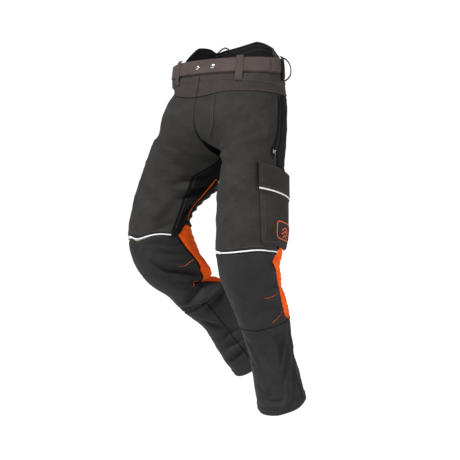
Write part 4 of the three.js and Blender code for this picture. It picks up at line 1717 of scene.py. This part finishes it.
@dataclass
class Waist:
    """Waistband, belt, studs, loops, tool straps, raised back and hanger loop."""

    finishes: Finishes
    belt_low: float = -21.0
    belt_high: float = 19.0
    tail_from: float = -34.0
    tail_to: float = 75.0
    loops: tuple[float, ...] = (-31.0, 40.0, -101.0, 101.0, 180.0)
    brown_loops: int = 2
    loop_wide: float = 22.0
    riser_edge: tuple[tuple[float, float], ...] = (
        (-89, 72), (-76, 80), (-55, 78), (-41, 66), (-31, 72), (22, 88), (40, 80), (62, 60), (92, 38),
    )

    # Distance off the waist and height along the outer face, from top to bottom.
    LOOP_PATH = (
        (2.8, 27), (5.0, 28.3), (8.4, 26), (9.3, 20), (9.5, 0), (9.3, -20), (8.2, -35), (4.6, -44),
        (2.6, -47),
    )
    TOOL_PATH = (
        (2.8, 26.5), (8, 27.5), (17, 20), (23.5, 6), (25, -8), (23, -24), (14, -36), (6, -41), (3.2, -42),
    )

    def build(self) -> None:
        """Makes every piece of the waist."""
        f = self.finishes
        band = WaistBand("waistband_cloth", -180, 180, -25, 22, -0.9, 1.6, ring=True, pressed=(-22, 18))
        self._keep(band.build(f.of(Finishes.BELT)), "waistband")
        self.build_belt()
        self.build_studs()
        self.build_loops()
        self.build_riser()
        self.stitch()

    def _keep(self, obj: bpy.types.Object, node: str | None) -> bpy.types.Object:
        """Args:
            obj: the piece.
            node: the solid it stands for, if any.

        Returns:
            The same piece.
        """
        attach(obj, "waist")
        if node:
            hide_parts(node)
        LOG.info("%s: made", obj.name)
        return declare(obj)

    def sag(self, degrees: np.ndarray, z: np.ndarray) -> np.ndarray:
        """Gives the belt's slow waves round the waist."""
        slow = 0.35 * np.sin(np.radians(degrees * 9)) * np.cos(z / 14)
        return slow + 0.2 * np.sin(np.radians(degrees * 31 + z * 3))

    def build_belt(self) -> None:
        """Makes the belt and its tail, which laps over it at the wearer's left."""
        f = self.finishes
        lines = (-17.5, -13.5, 11.5, 15.5)
        belt = WaistBand(
            "belt_cloth", -176, 176, self.belt_low, self.belt_high, 2.3, 4.9, 0.9, lines, bulge=self.sag
        )
        self._keep(belt.build(f.of(Finishes.BELT)), "belt")
        tail = WaistBand(
            "belt_tail", self.tail_from, self.tail_to, self.belt_low + 1, self.belt_high - 1, 5.2, 7.0, 0.9,
            lines, bulge=self.sag,
        )
        self._keep(tail.build(f.of(Finishes.BELT)), None)

    def build_studs(self) -> None:
        """Makes the two domed press studs with their rolled rims."""
        profile = (
            (0.0, 3.1), (2.2, 3.0), (4.2, 2.6), (5.6, 1.9), (6.1, 1.25), (6.4, 1.0), (6.9, 1.15),
            (7.4, 0.95), (7.6, 0.5), (7.4, 0.0), (0.0, 0.0),
        )
        for number, degrees in enumerate((-3.0, 13.0)):
            here, beside, above = (
                FORM.on_waist(np.array(a), np.array(z), np.array(7.1))[0]
                for a, z in ((degrees, -1.5), (degrees + 1, -1.5), (degrees, -0.5))
            )
            across, up = Vector(beside - here).normalized(), Vector(above - here)
            out = across.cross(up).normalized()
            up = out.cross(across)
            m = np.array(Matrix((across, up, out)).transposed())
            count, verts, faces = 40, [], []
            for r, h in profile:
                for i in range(count):
                    t = 2 * np.pi * i / count
                    verts.append([r * np.cos(t), r * np.sin(t), h])
            for i in range(len(profile) - 1):
                for j in range(count):
                    k = (j + 1) % count
                    faces.append([i * count + j, (i + 1) * count + j, (i + 1) * count + k, i * count + k])
            points = np.array(verts) * MM @ m.T + here
            stud = mesh_object(
                f"press_stud_{number}", points, faces, self.finishes.of(Finishes.NICKEL), points[:, [0, 2]]
            )
            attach(stud, "waist")
            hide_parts(f"belt_stud_{number}")

    def strap(
        self, name: str, degrees: float, wide: float, path: Sequence[tuple[float, float]], thick: float,
        stripes: int, finish: Cloth,
    ) -> tuple[bpy.types.Object, list[Seam]]:
        """Makes a strap standing off the waist along a path of (off, height).

        Args:
            name: the piece's name.
            degrees: the middle of the strap round the waist.
            wide: its width in millimetres.
            path: its outer face from top to bottom.
            thick: its thickness.
            stripes: how many raised stripes run along it.
            finish: its cloth.

        Returns:
            The object, and the lines along its two edges.
        """
        sides = FORM.on_waist(np.array([degrees - 1, degrees + 1]), np.array(0.0), np.array(8.0))
        half = wide / 2 * MM / float(np.linalg.norm(sides[1] - sides[0]) / 2)
        pts = np.array(path, float)
        run = run_of(np.linalg.norm(np.diff(pts, axis=0), axis=1))
        fine = np.linspace(0, run[-1], 40)
        off, z = (curve_through(np.stack([run, pts[:, k]], 1), fine, 1) for k in (0, 1))
        d_off, d_z = np.gradient(off), np.gradient(z)
        size = np.hypot(d_off, d_z)
        n_off, n_z = -d_z / size, d_off / size
        t = np.linspace(-1, 1, 31)
        ridge = 0.55 * np.cos(np.pi * stripes * t) - 0.7 * np.abs(t) ** 8
        a = degrees + half * t
        grid_a, _ = np.meshgrid(a, fine, indexing="ij")
        faces = []
        for depth in (0.0, -thick):
            lift = (ridge if depth == 0 else 0 * ridge)[:, None] + depth
            face = FORM.on_waist(grid_a, z[None] + n_z[None] * lift, off[None] + n_off[None] * lift)
            faces.append(face.reshape(*grid_a.shape, 3))
        uv = np.stack([grid_a * 2.9, np.broadcast_to(fine, grid_a.shape)], -1) * MM
        obj = Shell(faces[0], faces[1], uv).build(name, self.finishes.of(finish))
        lines = []
        for edge in (-0.33, 0.33):
            at = degrees + half * edge
            p = FORM.on_waist(np.full(40, at), z, off - 0.1)
            lines.append(Seam(p, FORM.on_waist(np.full(40, at), z, off + 1.0) - p))
        return obj, lines

    def build_loops(self) -> None:
        """Makes the belt loops and the two standing tool straps."""
        sewn = Parts("belt_loop_stitching", Ride.WAIST, None, self.finishes.of(Finishes.THREAD))
        for number, degrees in enumerate(self.loops):
            finish = Finishes.BELT if number < self.brown_loops else Finishes.WEBBING
            name = f"belt_loop_{number}_cloth"
            obj, lines = self.strap(name, degrees, self.loop_wide, self.LOOP_PATH, 1.7, 3, finish)
            self._keep(obj, f"belt_loop_{number}")
            for line in lines:
                sewn.add(line.stitches())
        for side, word in ((1, "left"), (-1, "right")):
            name, at = f"{word}_tool_strap_webbing", side * 116
            obj, lines = self.strap(name, at, 24, self.TOOL_PATH, 1.9, 2, Finishes.WEBBING)
            self._keep(obj, f"{word}_tool_strap")
            for line in lines:
                sewn.add(line.stitches())
        sewn.build()

    def riser_top(self, from_back: np.ndarray) -> np.ndarray:
        """Gives the height of the raised back's top edge.

        Args:
            from_back: angle from the back centre in degrees.

        Returns:
            The height in millimetres.
        """
        edge = np.array(self.riser_edge, float)
        inside = np.clip(np.minimum(from_back - edge[0, 0], edge[-1, 0] - from_back) / 12, 0, 1)
        return mix(26, curve_through(edge, from_back, 1), np.sqrt(1 - (1 - inside) ** 2))

    def riser_off(self, z: np.ndarray) -> np.ndarray:
        """Gives how far the raised back's outer face stands from the waist's surface."""
        return -3.4 - 0.34 * np.maximum(0, z - 22)

    def build_riser(self) -> None:
        """Makes the padded raised back with its bound edge, and the hanger loop."""
        f = self.finishes
        t = np.linspace(0, 1, 190)
        from_back = mix(-88.5, 91.5, t)
        top = self.riser_top(from_back)
        v = np.linspace(0, 1, 30)
        a = 180 - np.broadcast_to(from_back[:, None], (190, 30))
        z = mix(-18.0, top[:, None], v[None])
        # Ribs run up the pad, and it is fullest halfway up.
        rib = 0.35 * np.cos(np.radians(a) * 190) * np.sin(np.pi * v)[None] ** 0.5
        full = 1.2 * np.sin(np.pi * v)[None] + 0 * z
        off = self.riser_off(z)
        outer = FORM.on_waist(a, z, off + 0.4 * full + rib).reshape(190, 30, 3)
        inner = FORM.on_waist(a, z, off - 2.8 - full - rib).reshape(190, 30, 3)
        uv = np.stack([a * 2.9, z], -1) * MM
        obj = Shell(outer, inner, uv).build("raised_back_pad", f.of(Finishes.RISER))
        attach(obj, "waist")
        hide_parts("back_riser")
        binding = Parts("raised_back_binding", Ride.WAIST, None, f.of(Finishes.RISER))
        place = FORM.on_waist(180 - from_back, top, self.riser_off(top) - 1.4)
        above = FORM.on_waist(180 - from_back, top + 1, self.riser_off(top) - 1.4)
        line = Seam(place, above - place)
        obj = binding.add(line.swept(round_section(2.7, 2.2, 12, 0.2))).build()
        sewn = Parts("raised_back_stitching", Ride.WAIST, None, f.of(Finishes.THREAD))
        for drop in (7.0, 22.0):
            low = np.maximum(top - drop, 12)
            for extra in (1.1, -4.9):
                off = self.riser_off(low) + extra
                p = FORM.on_waist(180 - from_back, low, off)
                q = FORM.on_waist(180 - from_back, low, off + math.copysign(1, extra))
                sewn.add(Seam(p, q - p).stitches())
        sewn.build()
        s = np.linspace(0, 1, 40)
        at = -31 + mix(-11, 11, s)
        lift = np.sin(np.pi * s) * 17
        z = self.riser_top(np.array([-31.0])) - 10 + lift + 2.5
        p = FORM.on_waist(180 - at, z, self.riser_off(z) - 4.6)
        q = FORM.on_waist(180 - at, z, self.riser_off(z) - 3.6)
        loop = Parts("hanger_loop_tape", Ride.WAIST, None, f.of(Finishes.RISER))
        obj = loop.add(Seam(p, q - p).swept(round_section(2.3, 0.8, 10))).build()
        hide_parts("hanger_loop")

    def stitch(self) -> None:
        """Sews the rows along the belt, its tail and the waistband."""
        sewn = Parts("belt_stitching", Ride.WAIST, None, self.finishes.of(Finishes.THREAD))
        angles = np.linspace(-174, 174, 200)
        for z in (-17.5, 15.5):
            middle, half = (self.tail_from + self.tail_to) / 2, (self.tail_to - self.tail_from) / 2
            clear = np.abs(angles - middle) > half
            for group in (angles[clear & (angles < 0)], angles[clear & (angles > 0)]):
                sewn.add(Seam.on_waist(group, np.full(len(group), z), 4.9).stitches())
            tail = np.linspace(self.tail_from + 1, self.tail_to - 1, 60)
            sewn.add(Seam.on_waist(tail, np.full(60, z), 7.0).stitches())
        for degrees in (self.tail_to - 1.2, self.tail_to - 4.2):
            sewn.add(Seam.on_waist([degrees] * 2, [15, -17], 7.0).stitches())
        around = np.linspace(-178, 178, 200)
        sewn.add(Seam.on_waist(around, np.full(200, -22.6), 1.9).stitches())
        sewn.build()


@dataclass
class Fly:
    """The fly's flap with its curved row of stitches, its bar tack, and the zip behind it."""

    finishes: Finishes
    edge: float = 0.036
    width: float = 0.094
    top: float = -97.0
    bottom: float = -222.0

    def curve(self, v: np.ndarray) -> np.ndarray:
        """Gives the flap's outer edge by the share of the way down."""
        bend = np.sqrt(np.clip(1 - np.clip((v - 0.76) / 0.24, 0, 1) ** 2, 0.02, 1))
        return self.edge + (self.width - self.edge) * bend

    def build(self) -> None:
        """Makes the fly."""
        f = self.finishes
        flap = Panel(
            "fly_flap_cloth", LEFT, self.edge - 0.034, self.curve, self.top - 2, self.bottom,
            near=0.7, far=2.2, pitch=2.6, seams=(False, True, False, False),
        )
        obj = settle(flap.build(f.of(Finishes.LEG)), Ride.HIP, LEFT)
        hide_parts("fly_flap")
        declare(obj)
        tape = Panel(
            "fly_zip_tape", LEFT, 0.0085, 0.05, -30, -195, near=-8.8, far=-7.6, pitch=3.0,
            seams=(False,) * 4,
        )
        obj = settle(tape.build(f.of(Finishes.WEBBING)), Ride.HIP, LEFT)
        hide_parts("fly_zip")
        declare(obj)
        sewn = Parts("fly_stitching", Ride.HIP, LEFT, f.of(Finishes.THREAD))
        v = np.linspace(0.0, 0.995, 50)
        z = mix(self.top - 2, self.bottom, v)
        for inset in (0.006, 0.014):
            sewn.add(Seam.on_leg(LEFT, self.curve(v) - inset, z, 2.4).stitches())
        sewn.build()
        tack = Parts("fly_bar_tack", Ride.HIP, LEFT, f.of(Finishes.THREAD))
        for k in range(9):
            s = 0.012 + 0.0035 * k
            line = Seam.on_leg(LEFT, [s, s + 0.003], [-224.5, -226.5], 1.2, smooth=False)
            tack.add(line.stitches(2.2, 0.2, 1.0))
        tack.build()
        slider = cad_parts["fly_zip_slider"]
        slider.data.materials.clear()
        slider.data.materials.append(f.of(Finishes.NICKEL))


@dataclass
class CargoPocket:
    """The bellows pocket on the left thigh, its flap, reflective edge and patch."""

    finishes: Finishes
    start: float = 0.397
    end: float = 0.632
    top: float = -318.0
    bottom: float = -550.0

    def build(self) -> None:
        """Makes the pocket's pieces."""
        self.build_bag()
        self.build_flap()
        self.build_patch()

    def stand(self, share: np.ndarray, z: np.ndarray) -> np.ndarray:
        """Gives how far the bag's face stands off the thigh: bellows, fullness, creases and hem.

        Args:
            share: share of the way round.
            z: height in millimetres.

        Returns:
            The distance in millimetres.
        """
        t = (share - self.start) / (self.end - self.start)
        d = np.clip(np.minimum(np.minimum(t, 1 - t) * 141, z - self.bottom), 0, None)
        rise = 8.2 * (1 - np.exp(-((d / 3.2) ** 2)))
        full = 2.4 * np.sin(np.pi * np.clip(t, 0, 1)) * ease((z - self.bottom) / 60) * ease((-330 - z) / 50)
        crease = -1.8 * np.exp(-(((t - 0.78 - 0.1 * np.sin(z / 30)) / 0.07) ** 2)) * ease((-400 - z) / 30)
        crease += 1.2 * np.exp(-(((t - 0.45 - (z + 450) / 500) / 0.09) ** 2))
        edge = -0.7 * np.exp(-(((d - 8) / 1.4) ** 2))
        return rise + full + crease * ease(d / 15) * ease((z + 470) / 25 + (-545 - z) / 8) + edge

    def corner(self, v: np.ndarray) -> np.ndarray:
        """Gives how far a lower corner is cut back, by the share of the way down the bag."""
        return np.clip((v - 0.93) / 0.07, 0, 1)

    def build_bag(self) -> None:
        """Makes the bag, full in the middle, with its lower corners cut off."""
        f = self.finishes
        bag = Panel(
            "cargo_pocket_cloth", LEFT,
            lambda v: self.start + 0.006 * self.corner(v), lambda v: self.end - 0.03 * self.corner(v),
            self.top, self.bottom, near=1.4, far=3.0, pitch=2.6, seams=(False,) * 4,
        )
        shell = bag.grid()
        t, v = np.meshgrid(
            np.linspace(0, 1, shell.outer.shape[0]), np.linspace(0, 1, shell.outer.shape[1]), indexing="ij"
        )
        share = mix(value_of(bag.start, v), value_of(bag.end, v), t)
        z = mix(self.top, self.bottom, v)
        relief, stand = FORM.relief(LEFT, share, z), self.stand(share, z)
        shell.outer = FORM.on_leg(LEFT, share, z, 3.0 + (relief + stand)).reshape(*z.shape, 3)
        shell.inner = FORM.on_leg(LEFT, share, z, 1.4 + relief + 0.55 * stand).reshape(*z.shape, 3)
        obj = settle(shell.build(bag.name, f.of(Finishes.POCKET)), Ride.HIP, LEFT)
        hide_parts("cargo_pocket")
        declare(obj)
        sewn = Parts("cargo_pocket_stitching", Ride.HIP, LEFT, f.of(Finishes.THREAD))
        down = np.linspace(self.top - 70, self.bottom + 9, 30)
        for edge, inset in ((self.start, 0.0135), (self.end, -0.0135)):
            share = np.full(30, edge + inset)
            sewn.add(Seam.on_leg(LEFT, share, down, 3.4, over=self.stand).stitches())
        across = np.linspace(self.start + 0.014, self.end - 0.04, 30)
        hem = np.full(30, self.bottom + 8)
        sewn.add(Seam.on_leg(LEFT, across, hem, 3.4, over=self.stand).stitches())
        sewn.build()

    def flap_face(self, v: np.ndarray) -> np.ndarray:
        """Gives how far the flap's outer face stands off the thigh, by the share of the way down."""
        return mix(4.2, 15.4, np.clip(v * 9, 0, 1) ** 0.6)

    def build_flap(self) -> None:
        """Makes the flap, bent over the pocket's mouth, and its reflective edge."""
        f = self.finishes
        flap = Panel(
            "cargo_flap_cloth", LEFT, self.start - 0.008, self.end + 0.008, -311, -389.5,
            near=lambda v: self.flap_face(v) - 1.6, far=self.flap_face, pitch=2.6, seams=(False,) * 4,
            extra=lambda share, z: -1.0 * np.exp(-(((z + 379) / 1.4) ** 2)) + 0.5 * np.sin(share * 90),
        )
        obj = settle(flap.build(f.of(Finishes.POCKET)), Ride.FLAP)
        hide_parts("cargo_flap")
        declare(obj)
        shares = np.linspace(self.start - 0.008, self.end + 0.008, 60)
        bead = Parts("cargo_flap_reflective_edge", Ride.FLAP, None, f.of(Finishes.PIPING))
        line = Seam.on_leg(LEFT, shares, np.full(60, -392.0), 14.6)
        obj = bead.add(line.swept(round_section(2.4, 1.7, 12))).build()
        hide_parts("cargo_flap_piping")
        sewn = Parts("cargo_flap_stitching", Ride.FLAP, None, f.of(Finishes.THREAD))
        inner = np.linspace(self.start + 0.004, self.end - 0.004, 60)
        sewn.add(Seam.on_leg(LEFT, inner, np.full(60, -383.0), 15.6).stitches())
        for share in (self.start + 0.003, self.end - 0.003):
            sewn.add(Seam.on_leg(LEFT, [share] * 2, [-322, -382], 15.4).stitches())
        sewn.build()

    def build_patch(self) -> None:
        """Makes the patch: a dark ground, a rounded orange outline and three plain chevrons."""
        f = self.finishes
        left, right, high, low = 0.462, 0.575, -476.0, -531.0
        ground = Panel(
            "cargo_patch_ground", LEFT, left, right, high, low, near=3.5, far=4.4, pitch=2.4,
            seams=(False,) * 4, extra=self.stand,
        )
        obj = settle(ground.build(f.of(Finishes.POCKET)), Ride.HIP, LEFT)
        declare(obj)
        outline = Parts("cargo_patch_mark", Ride.HIP, LEFT, f.of(Finishes.ORANGE_THREAD))
        a = np.linspace(0, 2 * np.pi, 90)
        power = 0.36
        cx, cz = (left + right) / 2, (high + low) / 2
        x = np.sign(np.cos(a)) * np.abs(np.cos(a)) ** power * (right - left) / 2 * 0.94
        z = np.sign(np.sin(a)) * np.abs(np.sin(a)) ** power * (high - low) / 2 * 0.94
        section = round_section(1.5, 0.7, 8)
        outline.add(Seam.on_leg(LEFT, cx + x, cz + z, 4.7, smooth=False, over=self.stand).swept(section))
        for drop, reach in ((9.0, 0.026), (-2.0, 0.026), (-12.0, 0.016)):
            shares = [cx - reach, cx, cx + reach]
            heights = [cz + drop - 9, cz + drop + 2, cz + drop - 9]
            line = Seam.on_leg(LEFT, shares, heights, 4.7, smooth=False, over=self.stand)
            outline.add(line.swept(round_section(1.9, 0.7, 8)))
        obj = outline.build()
        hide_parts("cargo_patch")


@dataclass
class Stage:
    """Floor, light and camera."""

    distance: float = 4.2
    azimuth: float = 38.0
    height: float = -0.4887
    roll: float = 1.0
    lens: float = 107.4

    def build(self) -> None:
        """Sets the floor, the lights and the camera."""
        scene = bpy.context.scene
        scene.view_settings.view_transform = "Standard"
        az, roll = math.radians(self.azimuth), math.radians(self.roll)
        right = Vector((math.cos(az), math.sin(az), 0))
        back = Vector((math.sin(az), -math.cos(az), 0))
        up = Vector((0, 0, 1))
        x_axis = right * math.cos(roll) - up * math.sin(roll)
        y_axis = right * math.sin(roll) + up * math.cos(roll)
        camera = bpy.data.objects.new("camera", bpy.data.cameras.new("camera"))
        camera.data.lens, camera.data.sensor_width = self.lens, 36.0
        camera.data.clip_end = 200.0
        m = Matrix((x_axis, y_axis, back)).transposed().to_4x4()
        m.translation = back * self.distance + right * 0.0009 + up * self.height
        camera.matrix_world = m
        scene.collection.objects.link(camera)
        scene.camera = camera
        low = CAD_BOX[0][2]
        size = 40.0
        floor = mesh_object(
            "floor",
            np.array([[-size, -size, 0], [size, -size, 0], [size, size, 0], [-size, size, 0]])
            + np.array([0, 0, low - 0.38]),
            [[0, 1, 2, 3]],
            Solid("pale_paper", "#ffffff", "#fafafa", 0.9, 0.0, 400.0, 0.01).make(),
        )
        world = bpy.data.worlds.new("studio")
        scene.world = world
        world.use_nodes = True
        tree = world.node_tree
        tree.nodes.clear()
        out = add_node(tree, "ShaderNodeOutputWorld")
        path = add_node(tree, "ShaderNodeLightPath")
        soft = add_node(tree, "ShaderNodeBackground", values={"Color": (1, 1, 1, 1), "Strength": 0.24})
        seen = add_node(tree, "ShaderNodeBackground", values={"Color": (1, 1, 1, 1), "Strength": 1.05})
        both = add_node(
            tree, "ShaderNodeMixShader",
            links={0: path.outputs["Is Camera Ray"], 1: soft.outputs[0], 2: seen.outputs[0]},
        )
        tree.links.new(both.outputs[0], out.inputs["Surface"])
        for name, sideways, rise, strength, wide in (("key", -42, 50, 3.4, 10), ("fill", 48, 24, 0.9, 30)):
            light = bpy.data.objects.new(name, bpy.data.lights.new(name, "SUN"))
            light.data.energy, light.data.angle = strength, math.radians(wide)
            a, e = math.radians(self.azimuth + sideways), math.radians(rise)
            towards = Vector((math.sin(a) * math.cos(e), -math.cos(a) * math.cos(e), math.sin(e)))
            light.rotation_euler = towards.to_track_quat("Z", "Y").to_euler()
            scene.collection.objects.link(light)


def build_zips(finishes: Finishes) -> None:
    """Makes the hip pocket zips and the vent zips of both legs.

    Args:
        finishes: the trousers' finishes.
    """
    for leg in LEGS:
        w = leg.word
        Zip(
            leg, "pocket", f"{w}_pocket_zip", f"{w}_pocket_zip_slider", f"{w}_pocket_zip_pull",
            f"{w}_pocket_slider", 0.472, -97, -280, -268, finishes,
        ).build()
        for place, at in (("outer", 0.7), ("inner", 0.885)):
            Zip(
                leg, place, f"{w}_{place}_vent_zip", f"{w}_{place}_vent_slider", f"{w}_{place}_vent_pull",
                f"{w}_{place}_vent_runner", at, -300, -505, -308.4, finishes, orange=True,
            ).build()


def main() -> None:
    """Builds the trousers in order."""
    logging.basicConfig(level=logging.INFO, format="%(message)s")
    finishes = Finishes()
    Stage().build()
    for leg in LEGS:
        LegShell(leg, finishes).build()
        LOG.info("%s leg: made", leg.word)
    Waist(finishes).build()
    Fly(finishes).build()
    build_zips(finishes)
    CargoPocket(finishes).build()


if __name__ == "__main__":
    main()
